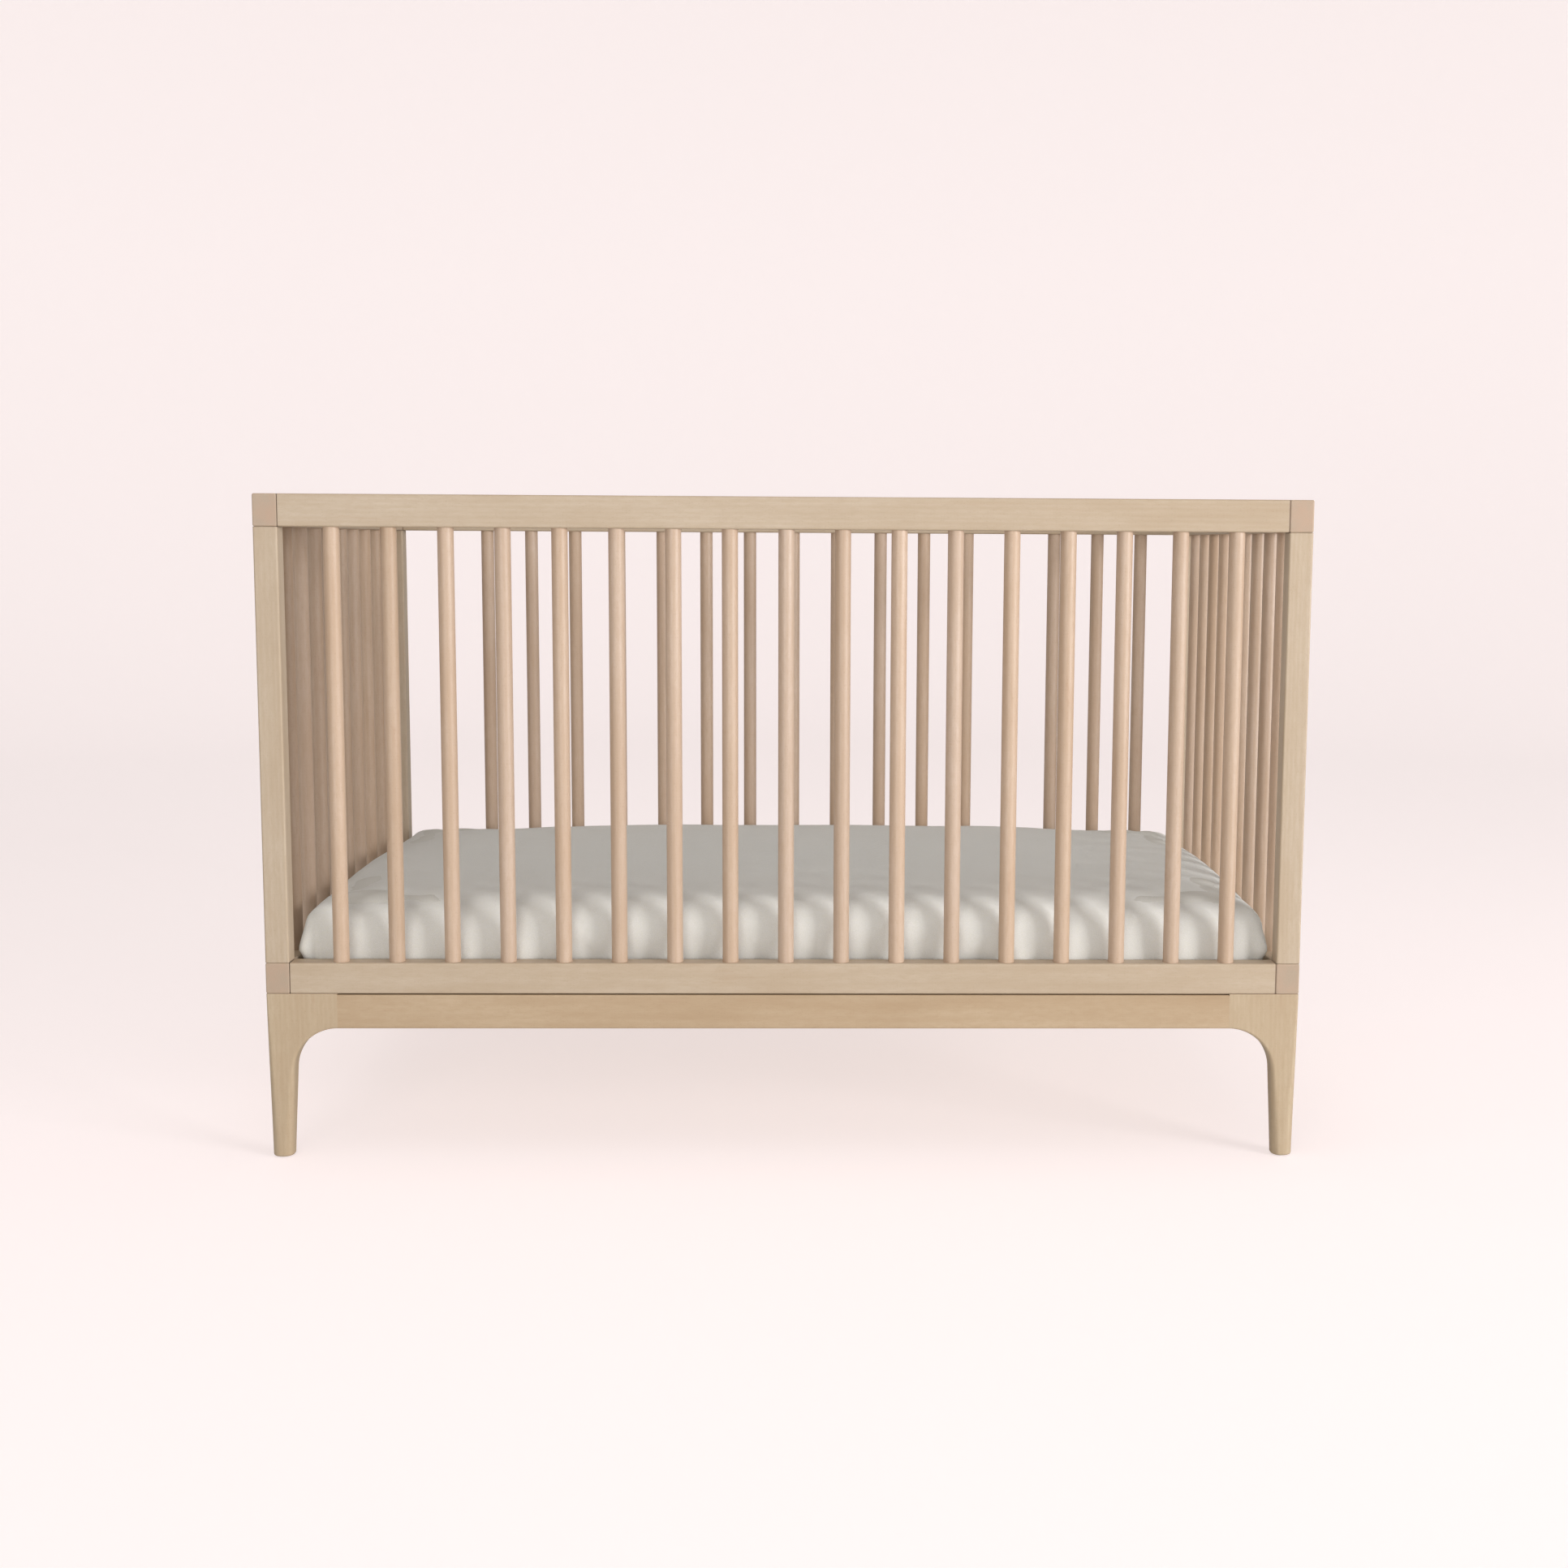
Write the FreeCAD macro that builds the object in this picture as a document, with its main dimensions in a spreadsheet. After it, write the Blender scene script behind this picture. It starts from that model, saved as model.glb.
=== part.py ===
import FreeCAD, Part
import math
import os

import Sketcher
from FreeCAD import Placement, Rotation, Vector

# Baby crib with fixed spindle sides, in millimetres. +Z is up and the front faces -Y.
# The origin is on the floor, under the middle of the crib.

doc = FreeCAD.newDocument("baby_crib")
sheet = doc.addObject("Spreadsheet::Sheet", "Sizes")

SIZES = [
    ("crib_high", 893.5, "floor to the top of the top rails"),
    ("base_high", 227.5, "floor to the underside of the bottom rails"),
    ("inner_length", 1330, "clear length between the end panels"),
    ("inner_width", 711, "clear width between the front and back panels"),
    ("end_thick", 32, "end panels: posts and end rails, along X"),
    ("side_thick", 28, "front and back panels, posts and legs, along Y"),
    ("top_rail_high", 43, "all four top rails"),
    ("bottom_rail_high", 42, "all four bottom rails"),
    ("edge_round", 2.5, "rounding of every long edge"),
    ("joint_round", 0.8, "rounding where one piece butts another"),
    ("spindle_dia", 21.4, "turned spindles"),
    ("tenon_dia", 12, "spindle tenons"),
    ("tenon_long", 16, "spindle tenons"),
    ("side_count", 17, "spindles in the front and in the back"),
    ("side_margin", 66.6, "end panel to the axis of the first side spindle"),
    ("end_count", 9, "spindles in each end panel"),
    ("end_margin", 61.2, "side panel to the axis of the first end spindle"),
    ("shadow_gap", 1.5, "aprons stand this far below the bottom rails"),
    ("apron_high", 46.5, "all four aprons"),
    ("end_apron_thick", 28, "left and right aprons, along X"),
    ("bracket_wide", 94.5, "leg bracket, from the outer edge to the apron"),
    ("arch_radius", 60, "curve from the leg into the apron"),
    ("foot_wide", 28, "leg at the floor"),
    ("foot_taper", 1.5, "lean of the leg's outer edge"),
    ("foot_round", 12, "corner rounding of the leg at the floor"),
    ("foot_lift", 1.5, "floor to the leg's underside"),
    ("foot_edge_round", 3, "rounding of the leg's underside"),
    ("glide_dia", 18, "nail-on glides"),
    ("glide_thick", 3.5, "nail-on glides"),
    ("nail_dia", 3, "glide nails"),
    ("nail_long", 12, "glide nails"),
    ("fit_gap", 0.1, "radial clearance of every drilled hole"),
    ("hole_spare", 0.5, "extra depth of every blind hole"),
    ("dowel_dia", 8, "beech dowels"),
    ("post_dowel_spread", 16, "between the two dowels in a post's end"),
    ("dowel_in_post", 20, "dowel length held in the post"),
    ("rail_dowel_half", 15, "half a dowel between side rail and end rail"),
    ("dowel_cover", 3.9, "wood between a rail dowel's hole and the rail's face"),
    ("base_dowel_half", 18, "half a dowel between apron and leg"),
    ("base_dowel_spread", 24, "between the two dowels of a base joint"),
    ("bolt_dia", 6, "connector and base bolts"),
    ("bolt_head_dia", 12, "bolt heads"),
    ("bolt_head_high", 4.5, "bolt heads"),
    ("bolt_key", 4, "hexagon key across flats"),
    ("counterbore_dia", 13, "seat of a bolt head"),
    ("connector_sunk", 5, "depth of the connector bolt's seat"),
    ("barrel_in", 21, "rail end to the barrel nut's axis"),
    ("barrel_dia", 10, "barrel nuts"),
    ("barrel_long", 16, "barrel nuts"),
    ("bolt_past", 5, "bolt tip past its nut or into its insert's end"),
    ("base_sunk", 12, "apron underside to the base bolt's seat"),
    ("hole_wall", 1.5, "least wood between two holes in a leg"),
    ("apron_bolt_out", 300, "middle to the apron bolts, along X"),
    ("insert_dia", 10, "threaded inserts"),
    ("insert_long", 13, "threaded inserts"),
    ("bracket_thick", 3, "deck brackets, steel strip"),
    ("strip_wide", 48, "deck brackets, along Y"),
    ("bracket_off", 32, "side panel to the middle of a deck bracket"),
    ("bracket_foot", 30, "deck bracket foot, along X"),
    ("bracket_above", 10, "deck bracket above its screws"),
    ("screw_spread", 24, "between the two screws of a bracket"),
    ("screw_low", 2, "bracket screws below the middle of the bottom rail"),
    ("screw_head_high", 2.2, "bracket screw heads"),
    ("screw_dia", 5, "bracket screws"),
    ("screw_insert_dia", 8, "bracket inserts"),
    ("screw_insert_long", 12, "bracket inserts"),
    ("deck_under", 184, "floor to the underside of the deck"),
    ("deck_end_gap", 8, "deck to end panel"),
    ("deck_side_gap", 4, "deck to side panel"),
    ("bearer_wide", 26, "deck bearers"),
    ("bearer_high", 28, "deck bearers"),
    ("slat_count", 13, "deck slats"),
    ("slat_wide", 70, "deck slats"),
    ("slat_thick", 9, "deck slats"),
    ("slat_round", 3, "deck slats"),
    ("slat_screw_dia", 4, "slat screws"),
    ("slat_screw_head", 8, "slat screws"),
    ("slat_screw_sunk", 3, "slat screws"),
    ("slat_screw_long", 22, "slat screws, under the head"),
    ("mattress_gap", 6, "mattress to the panels, all round"),
    ("mattress_high", 129, "mattress core"),
    ("mattress_corner", 24, "mattress corners, in plan"),
    ("mattress_top_round", 32, "mattress top edge"),
    ("mattress_low_round", 16, "mattress bottom edge"),
    ("mattress_lift_gap", 0.3, "sheet clear of the slats"),
    ("sheet_thick", 1, "fitted sheet"),
    ("sheet_turn", 70, "fitted sheet turned under the mattress"),
]

for row, (alias, size, note) in enumerate(SIZES, start=1):
    sheet.set(f"A{row}", alias)
    sheet.set(f"B{row}", str(size))
    sheet.set(f"C{row}", note)
    sheet.setAlias(f"B{row}", alias)
doc.recompute()

# Places that several pieces share, as expressions on the sheet.
HALF_IN_X = "(Sizes.inner_length / 2)"
HALF_IN_Y = "(Sizes.inner_width / 2)"
HALF_OUT_X = "(Sizes.inner_length / 2 + Sizes.end_thick)"
HALF_OUT_Y = "(Sizes.inner_width / 2 + Sizes.side_thick)"
END_MID_X = "(Sizes.inner_length / 2 + Sizes.end_thick / 2)"
SIDE_MID_Y = "(Sizes.inner_width / 2 + Sizes.side_thick / 2)"
BOTTOM_RAIL_TOP = "(Sizes.base_high + Sizes.bottom_rail_high)"
BOTTOM_RAIL_MID = "(Sizes.base_high + Sizes.bottom_rail_high / 2)"
TOP_RAIL_UNDER = "(Sizes.crib_high - Sizes.top_rail_high)"
TOP_RAIL_MID = "(Sizes.crib_high - Sizes.top_rail_high / 2)"
POST_LONG = f"({TOP_RAIL_UNDER} - {BOTTOM_RAIL_TOP})"
APRON_UNDER = "(Sizes.base_high - Sizes.shadow_gap - Sizes.apron_high)"
APRON_MID = "(Sizes.base_high - Sizes.shadow_gap - Sizes.apron_high / 2)"
BASE_SEAT = f"({APRON_UNDER} + Sizes.base_sunk)"
SIDE_SPAN = "(Sizes.inner_length - 2 * Sizes.side_margin)"
END_SPAN = "(Sizes.inner_width - 2 * Sizes.end_margin)"
HOLE = "(Sizes.dowel_dia + 2 * Sizes.fit_gap)"
BOLT_HOLE = "(Sizes.bolt_dia + 2 * Sizes.fit_gap)"
HEAD_HOLE = "Sizes.counterbore_dia"

# Joints that follow the wood around them, so that their holes never meet.
RAIL_HALF = "(min(Sizes.top_rail_high; Sizes.bottom_rail_high) / 2)"
DOWEL_IN_RAIL = f"({RAIL_HALF} - {HEAD_HOLE} / 2 - Sizes.hole_spare)"
RAIL_DOWEL_OFF = f"({RAIL_HALF} - {HOLE} / 2 - Sizes.dowel_cover)"
LEG_BOLT_IN = (f"(Sizes.bracket_wide - Sizes.base_dowel_half - Sizes.hole_spare"
               f" - {HEAD_HOLE} / 2 - Sizes.hole_wall)")

PLANE_ACROSS = {"X": "YZ_Plane", "Y": "XZ_Plane", "Z": "XY_Plane"}
VECTOR = {"X": Vector(1, 0, 0), "Y": Vector(0, 1, 0), "Z": Vector(0, 0, 1)}
pieces = []


def value(expression):
    """The present value of an expression on the sheet."""
    return float(sheet.evalExpression(expression))


def piece(shape_object, label):
    """Name a finished sub-part and keep it for export."""
    shape_object.Label = label
    pieces.append(shape_object)
    return shape_object


def place(shape_object, x="0", y="0", z="0", turn=0):
    """Stand an object at (x, y, z), turned about Z by so many degrees."""
    shape_object.Placement = Placement(Vector(), Rotation(VECTOR["Z"], turn))
    for axis, expression in (("x", x), ("y", y), ("z", z)):
        shape_object.setExpression(f"Placement.Base.{axis}", expression)


# ---- PartDesign helpers ------------------------------------------------------------


def new_body(name):
    body = doc.addObject("PartDesign::Body", name)
    body.AllowCompound = True
    return body


def datum(body, role):
    return next(feature for feature in body.Origin.OriginFeatures if feature.Role == role)


def new_sketch(body, name, role, lift="0"):
    """A sketch on one of the body's own planes, lifted along the plane's normal."""
    sketch = body.newObject("Sketcher::SketchObject", name)
    sketch.AttachmentSupport = [(datum(body, role), "")]
    sketch.MapMode = "FlatFace"
    sketch.setExpression("AttachmentOffset.Base.z", lift)
    return sketch


def pin_point(sketch, geometry, point, across, up):
    """Hold a sketch point at two expressions, measured from the sketch's origin."""
    for kind, axis, expression in (("DistanceX", -2, across), ("DistanceY", -1, up)):
        if expression == "0":
            sketch.addConstraint(Sketcher.Constraint("PointOnObject", geometry, point, axis))
            continue
        held = Sketcher.Constraint(kind, -1, 1, geometry, point, value(expression))
        number = sketch.addConstraint(held)
        sketch.setExpression(f"Constraints[{number}]", expression)


def draw_outline(sketch, points):
    """A closed outline of straight lines through points given as expressions."""
    corners = [Vector(value(across), value(up), 0) for across, up in points]
    lines = [
        sketch.addGeometry(Part.LineSegment(corner, corners[(number + 1) % len(corners)]))
        for number, corner in enumerate(corners)
    ]
    for number, line in enumerate(lines):
        following = lines[(number + 1) % len(lines)]
        sketch.addConstraint(Sketcher.Constraint("Coincident", line, 2, following, 1))
        pin_point(sketch, line, 1, *points[number])


def extrude(body, sketch, length, both_ways=False):
    pad = body.newObject("PartDesign::Pad", "Pad")
    pad.Profile = sketch
    pad.setExpression("Length", length)
    pad.Midplane = both_ways
    body.Tip = pad
    doc.recompute()
    return pad


def bar(name, axis, long, wide, high):
    """A square bar centred on the body's origin; wide and high follow X, Y, Z order."""
    body = new_body(name)
    sketch = new_sketch(body, "Section", PLANE_ACROSS[axis])
    half_wide, half_high = f"({wide}) / 2", f"({high}) / 2"
    corners = [
        (f"-({half_wide})", f"-({half_high})"),
        (half_wide, f"-({half_high})"),
        (half_wide, half_high),
        (f"-({half_wide})", half_high),
    ]
    draw_outline(sketch, corners)
    extrude(body, sketch, long, both_ways=True)
    return body


def round_edges(body, radius, wanted):
    """Round the straight edges of the body's tip that wanted() picks."""
    tip = body.Tip
    names = [f"Edge{n}" for n, edge in enumerate(tip.Shape.Edges, start=1) if wanted(edge)]
    fillet = body.newObject("PartDesign::Fillet", "Round")
    fillet.Base = (tip, names)
    fillet.setExpression("Radius", radius)
    body.Tip = fillet
    doc.recompute()
    return fillet


def runs_along(edge, axis):
    direction = edge.Vertexes[-1].Point - edge.Vertexes[0].Point
    return direction.Length > 1 and abs(direction.normalize().dot(VECTOR[axis])) > 0.99


def soften(body, axis, free_ends):
    """Round a bar's long edges, and its end edges by more if the ends show."""
    round_edges(body, "Sizes.edge_round", lambda edge: runs_along(edge, axis))
    limit = max(abs(v.Point.dot(VECTOR[axis])) for v in body.Tip.Shape.Vertexes)

    def at_an_end(edge):
        return all(abs(abs(v.Point.dot(VECTOR[axis])) - limit) < 0.01 for v in edge.Vertexes)

    end_radius = "Sizes.edge_round * 0.8" if free_ends else "Sizes.joint_round"
    round_edges(body, end_radius, at_an_end)


def drill(body, name, axis, toward, start, across, up, diameter, depth):
    """A round hole from the level start, along +axis (toward 1) or -axis (toward -1).

    across and up place it in the plane square to the axis, in X, Y, Z order.
    """
    normal = -1 if axis == "Y" else 1
    sketch = new_sketch(body, name, PLANE_ACROSS[axis], f"{normal} * ({start})")
    centre = Vector(value(across), value(up), 0)
    circle = Part.Circle(centre, VECTOR["Z"], value(diameter) / 2)
    ring = sketch.addGeometry(circle)
    pin_point(sketch, ring, 3, across, up)
    size = sketch.addConstraint(Sketcher.Constraint("Diameter", ring, value(diameter)))
    sketch.setExpression(f"Constraints[{size}]", diameter)
    volume_before = body.Tip.Shape.Volume
    pocket = body.newObject("PartDesign::Pocket", name)
    pocket.Profile = sketch
    pocket.setExpression("Length", depth)
    pocket.Reversed = toward == normal
    body.Tip = pocket
    doc.recompute()
    if not pocket.Shape.Volume < volume_before - 1:
        raise RuntimeError(f"{name} in {body.Name} cuts nothing")
    return pocket


def repeat(body, features, axis, span, count):
    """Repeat features in a row along an axis of the body; the last stands span away."""
    row_of = body.newObject("PartDesign::LinearPattern", "Row")
    row_of.Originals = features
    row_of.Direction = (datum(body, f"{axis}_Axis"), [""])
    row_of.Mode = "Extent"
    row_of.setExpression("Length", span)
    row_of.setExpression("Occurrences", count)
    body.Tip = row_of
    doc.recompute()
    return row_of


def mirror(body, features, role):
    """Mirror features about one of the body's planes."""
    mirrored = body.newObject("PartDesign::Mirrored", "Mirror")
    mirrored.Originals = features
    mirrored.MirrorPlane = (datum(body, role), [""])
    body.Tip = mirrored
    doc.recompute()
    return mirrored


# ---- end panels --------------------------------------------------------------------


def end_rail(label, x, turn, top):
    """A top or bottom rail of an end panel, running the full depth of the crib.

    Drawn for the left end: -X is the outer face. The right one is turned half round.
    """
    high = "Sizes.top_rail_high" if top else "Sizes.bottom_rail_high"
    inward = 1 if top else -1
    body = bar(label, "Y", f"2 * {HALF_OUT_Y}", "Sizes.end_thick", high)
    soften(body, "Y", free_ends=True)
    # The face toward the spindles: the underside of a top rail, the top of a bottom one.
    seat = f"{-inward} * {high} / 2"
    first = f"-({HALF_IN_Y} - Sizes.end_margin)"
    tenon_hole = "Sizes.tenon_dia + 2 * Sizes.fit_gap"
    tenon_deep = "Sizes.tenon_long + Sizes.hole_spare"
    socket = drill(body, "Socket", "Z", inward, seat, "0", first, tenon_hole, tenon_deep)
    repeat(body, [socket], "Y", END_SPAN, "Sizes.end_count")

    post_deep = f"{DOWEL_IN_RAIL} + Sizes.hole_spare"
    holes = [
        drill(body, "PostDowel", "Z", inward, seat, f"{way} * Sizes.post_dowel_spread / 2",
              f"-{SIDE_MID_Y}", HOLE, post_deep)
        for way in (-1, 1)
    ]
    outer, inner = "-Sizes.end_thick / 2", "Sizes.end_thick / 2"
    holes.append(drill(body, "BoltSeat", "X", 1, outer, f"-{SIDE_MID_Y}", "0",
                       HEAD_HOLE, "Sizes.connector_sunk"))
    holes.append(drill(body, "BoltHole", "X", 1, outer, f"-{SIDE_MID_Y}", "0",
                       BOLT_HOLE, "Sizes.end_thick"))
    holes.append(drill(body, "RailDowel", "X", -1, inner, f"-{SIDE_MID_Y}",
                       f"{inward} * {RAIL_DOWEL_OFF}", HOLE,
                       "Sizes.rail_dowel_half + Sizes.hole_spare"))
    if not top:
        screw_hole = "Sizes.screw_insert_dia + 2 * Sizes.fit_gap"
        for way in (-1, 1):
            screw_y = f"-({HALF_IN_Y} - Sizes.bracket_off + {way} * Sizes.screw_spread / 2)"
            holes.append(drill(body, "ScrewInsert", "X", -1, inner, screw_y,
                               "-Sizes.screw_low", screw_hole,
                               "Sizes.screw_insert_long + Sizes.hole_spare"))
    mirror(body, holes, "XZ_Plane")
    if not top:
        drill(body, "BaseInsert", "Z", 1, "-Sizes.bottom_rail_high / 2", "0", "0",
              "Sizes.insert_dia + 2 * Sizes.fit_gap", "Sizes.insert_long + Sizes.hole_spare")
    place(body, x, "0", TOP_RAIL_MID if top else BOTTOM_RAIL_MID, turn)
    return piece(body, label)


def post(label, x, y):
    """A corner post, dowelled between the end panel's two rails."""
    body = bar(label, "Z", POST_LONG, "Sizes.end_thick", "Sizes.side_thick")
    soften(body, "Z", free_ends=False)
    deep = "Sizes.dowel_in_post + Sizes.hole_spare"
    holes = [
        drill(body, "Dowel", "Z", 1, f"-{POST_LONG} / 2",
              f"{way} * Sizes.post_dowel_spread / 2", "0", HOLE, deep)
        for way in (-1, 1)
    ]
    mirror(body, holes, "XY_Plane")
    place(body, x, y, f"{BOTTOM_RAIL_TOP} + {POST_LONG} / 2")
    return piece(body, label)


def spindles(label, axis, x, y, span, count):
    """A row of turned spindles with a shouldered tenon at each end."""
    body = new_body(label)
    sketch = new_sketch(body, "HalfProfile", "XZ_Plane")
    tenon, full = "Sizes.tenon_dia / 2", "Sizes.spindle_dia / 2"
    profile = [
        ("0", "-Sizes.tenon_long"),
        (tenon, "-Sizes.tenon_long"),
        (tenon, "0"),
        (full, "0"),
        (full, POST_LONG),
        (tenon, POST_LONG),
        (tenon, f"{POST_LONG} + Sizes.tenon_long"),
        ("0", f"{POST_LONG} + Sizes.tenon_long"),
    ]
    draw_outline(sketch, profile)
    turned = body.newObject("PartDesign::Revolution", "Turned")
    turned.Profile = sketch
    turned.ReferenceAxis = (sketch, ["V_Axis"])
    turned.Angle = 360
    body.Tip = turned
    doc.recompute()
    repeat(body, [turned], axis, span, count)
    place(body, x, y, BOTTOM_RAIL_TOP)
    return piece(body, label)


for side, hand, turn in (("left", -1, 0), ("right", 1, 180)):
    mid_x = f"{hand} * {END_MID_X}"
    end_rail(f"{side}_top_rail", mid_x, turn, top=True)
    end_rail(f"{side}_bottom_rail", mid_x, turn, top=False)
    post(f"{side}_front_post", mid_x, f"-{SIDE_MID_Y}")
    post(f"{side}_back_post", mid_x, SIDE_MID_Y)
    spindles(f"{side}_spindles", "Y", mid_x, f"-({HALF_IN_Y} - Sizes.end_margin)",
             END_SPAN, "Sizes.end_count")

# ---- front and back panels ---------------------------------------------------------


def side_rail(label, y, top):
    """A rail of the front or back panel, butting between the end rails."""
    high = "Sizes.top_rail_high" if top else "Sizes.bottom_rail_high"
    inward = 1 if top else -1
    body = bar(label, "X", "Sizes.inner_length", "Sizes.side_thick", high)
    soften(body, "X", free_ends=False)
    seat = f"{-inward} * {high} / 2"
    first = f"-({HALF_IN_X} - Sizes.side_margin)"
    tenon_hole = "Sizes.tenon_dia + 2 * Sizes.fit_gap"
    tenon_deep = "Sizes.tenon_long + Sizes.hole_spare"
    socket = drill(body, "Socket", "Z", inward, seat, first, "0", tenon_hole, tenon_deep)
    repeat(body, [socket], "X", SIDE_SPAN, "Sizes.side_count")

    rail_end = f"-{HALF_IN_X}"
    bolt_deep = "Sizes.barrel_in + Sizes.bolt_past + Sizes.hole_spare"
    barrel_deep = f"{high} / 2 + Sizes.barrel_long / 2"
    holes = [
        drill(body, "BoltHole", "X", 1, rail_end, "0", "0", BOLT_HOLE, bolt_deep),
        drill(body, "RailDowel", "X", 1, rail_end, "0", f"{inward} * {RAIL_DOWEL_OFF}",
              HOLE, "Sizes.rail_dowel_half + Sizes.hole_spare"),
        drill(body, "BarrelHole", "Z", 1, f"-{high} / 2", f"-({HALF_IN_X} - Sizes.barrel_in)",
              "0", "Sizes.barrel_dia + 2 * Sizes.fit_gap", barrel_deep),
    ]
    if not top:
        for out in (f"{HALF_OUT_X} - {LEG_BOLT_IN}", "Sizes.apron_bolt_out"):
            holes.append(drill(body, "BaseInsert", "Z", 1, f"-{high} / 2", f"-({out})", "0",
                               "Sizes.insert_dia + 2 * Sizes.fit_gap",
                               "Sizes.insert_long + Sizes.hole_spare"))
    mirror(body, holes, "YZ_Plane")
    place(body, "0", y, TOP_RAIL_MID if top else BOTTOM_RAIL_MID)
    return piece(body, label)


for side, hand in (("front", -1), ("back", 1)):
    mid_y = f"{hand} * {SIDE_MID_Y}"
    side_rail(f"{side}_top_rail", mid_y, top=True)
    side_rail(f"{side}_bottom_rail", mid_y, top=False)
    spindles(f"{side}_spindles", "X", f"-({HALF_IN_X} - Sizes.side_margin)", mid_y,
             SIDE_SPAN, "Sizes.side_count")

# ---- base: aprons and legs ---------------------------------------------------------


def base_bolt_holes(body, underside, across, up):
    """A counterbored hole for a base bolt, drilled from below."""
    seat = drill(body, "BoltSeat", "Z", 1, underside, across, up, HEAD_HOLE,
                 f"{BASE_SEAT} - {APRON_UNDER}")
    through = drill(body, "BoltHole", "Z", 1, underside, across, up, BOLT_HOLE,
                    "Sizes.apron_high")
    return [seat, through]


def dowel_pair(body, axis, start, across):
    """Two dowel holes, one above the other, into the face at start, toward +axis."""
    return [
        drill(body, "BaseDowel", axis, 1, start, across,
              f"{way} * Sizes.base_dowel_spread / 2", HOLE,
              "Sizes.base_dowel_half + Sizes.hole_spare")
        for way in (-1, 1)
    ]


def side_apron(label, y):
    """The front or back apron, glued and dowelled between two leg brackets."""
    long = f"2 * ({HALF_OUT_X} - Sizes.bracket_wide)"
    body = bar(label, "X", long, "Sizes.side_thick", "Sizes.apron_high")
    round_edges(body, "Sizes.edge_round", lambda edge: runs_along(edge, "X"))
    holes = dowel_pair(body, "X", f"-({HALF_OUT_X} - Sizes.bracket_wide)", "0")
    holes += base_bolt_holes(body, "-Sizes.apron_high / 2", "-Sizes.apron_bolt_out", "0")
    mirror(body, holes, "YZ_Plane")
    place(body, "0", y, APRON_MID)
    return piece(body, label)


def end_apron(label, hand):
    """The left or right apron, dowelled between the front and the back leg."""
    body = bar(label, "Y", "Sizes.inner_width", "Sizes.end_apron_thick", "Sizes.apron_high")
    soften(body, "Y", free_ends=False)
    mirror(body, dowel_pair(body, "Y", f"-{HALF_IN_Y}", "0"), "XZ_Plane")
    bolt_x = f"{-hand} * (Sizes.end_thick - Sizes.end_apron_thick) / 2"
    base_bolt_holes(body, "-Sizes.apron_high / 2", bolt_x, "0")
    place(body, f"{hand} * ({HALF_OUT_X} - Sizes.end_apron_thick / 2)", "0", APRON_MID)
    return piece(body, label)


for side, hand in (("front", -1), ("back", 1)):
    side_apron(f"{side}_apron", f"{hand} * {SIDE_MID_Y}")
for side, hand in (("left", -1), ("right", 1)):
    end_apron(f"{side}_apron", hand)


def leg_outline(sketch):
    """The leg and its bracket, seen from the front: outer edge at 0, bracket to +X."""
    wide, high, radius = value("Sizes.bracket_wide"), value("Sizes.base_high"), value(
        "Sizes.arch_radius")
    arch_z = value(f"{APRON_UNDER} - Sizes.arch_radius")
    foot = Vector(value("Sizes.foot_taper + Sizes.foot_wide"), value("Sizes.foot_lift"), 0)
    # The leg's inner edge runs from the foot to where it touches the arch.
    to_foot = foot - Vector(wide, arch_z, 0)
    touch = math.atan2(to_foot.y, to_foot.x) + 2 * math.pi
    touch -= math.acos(radius / to_foot.Length)
    meets = Vector(wide + radius * math.cos(touch), arch_z + radius * math.sin(touch), 0)

    inner = sketch.addGeometry(Part.LineSegment(foot, meets))
    circle = Part.Circle(Vector(wide, arch_z, 0), VECTOR["Z"], radius)
    arch = sketch.addGeometry(Part.ArcOfCircle(circle, math.pi / 2, touch))
    corners = [Vector(wide, arch_z + radius, 0), Vector(wide, high, 0), Vector(0, high, 0),
               Vector(value("Sizes.foot_taper"), foot.y, 0), foot]
    joint, crown, outer, sole = [
        sketch.addGeometry(Part.LineSegment(one, other))
        for one, other in zip(corners, corners[1:])
    ]
    for one, end, other, start in ((arch, 1, joint, 1), (joint, 2, crown, 1),
                                   (crown, 2, outer, 1), (outer, 2, sole, 1),
                                   (sole, 2, inner, 1)):
        sketch.addConstraint(Sketcher.Constraint("Coincident", one, end, other, start))
    sketch.addConstraint(Sketcher.Constraint("Tangent", inner, 2, arch, 2))
    sketch.addConstraint(Sketcher.Constraint("Vertical", joint))
    pin_point(sketch, joint, 2, "Sizes.bracket_wide", "Sizes.base_high")
    pin_point(sketch, outer, 1, "0", "Sizes.base_high")
    pin_point(sketch, sole, 1, "Sizes.foot_taper", "Sizes.foot_lift")
    pin_point(sketch, inner, 1, "Sizes.foot_taper + Sizes.foot_wide", "Sizes.foot_lift")
    pin_point(sketch, arch, 3, "Sizes.bracket_wide", f"{APRON_UNDER} - Sizes.arch_radius")
    number = sketch.addConstraint(Sketcher.Constraint("Radius", arch, radius))
    sketch.setExpression(f"Constraints[{number}]", "Sizes.arch_radius")


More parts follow.
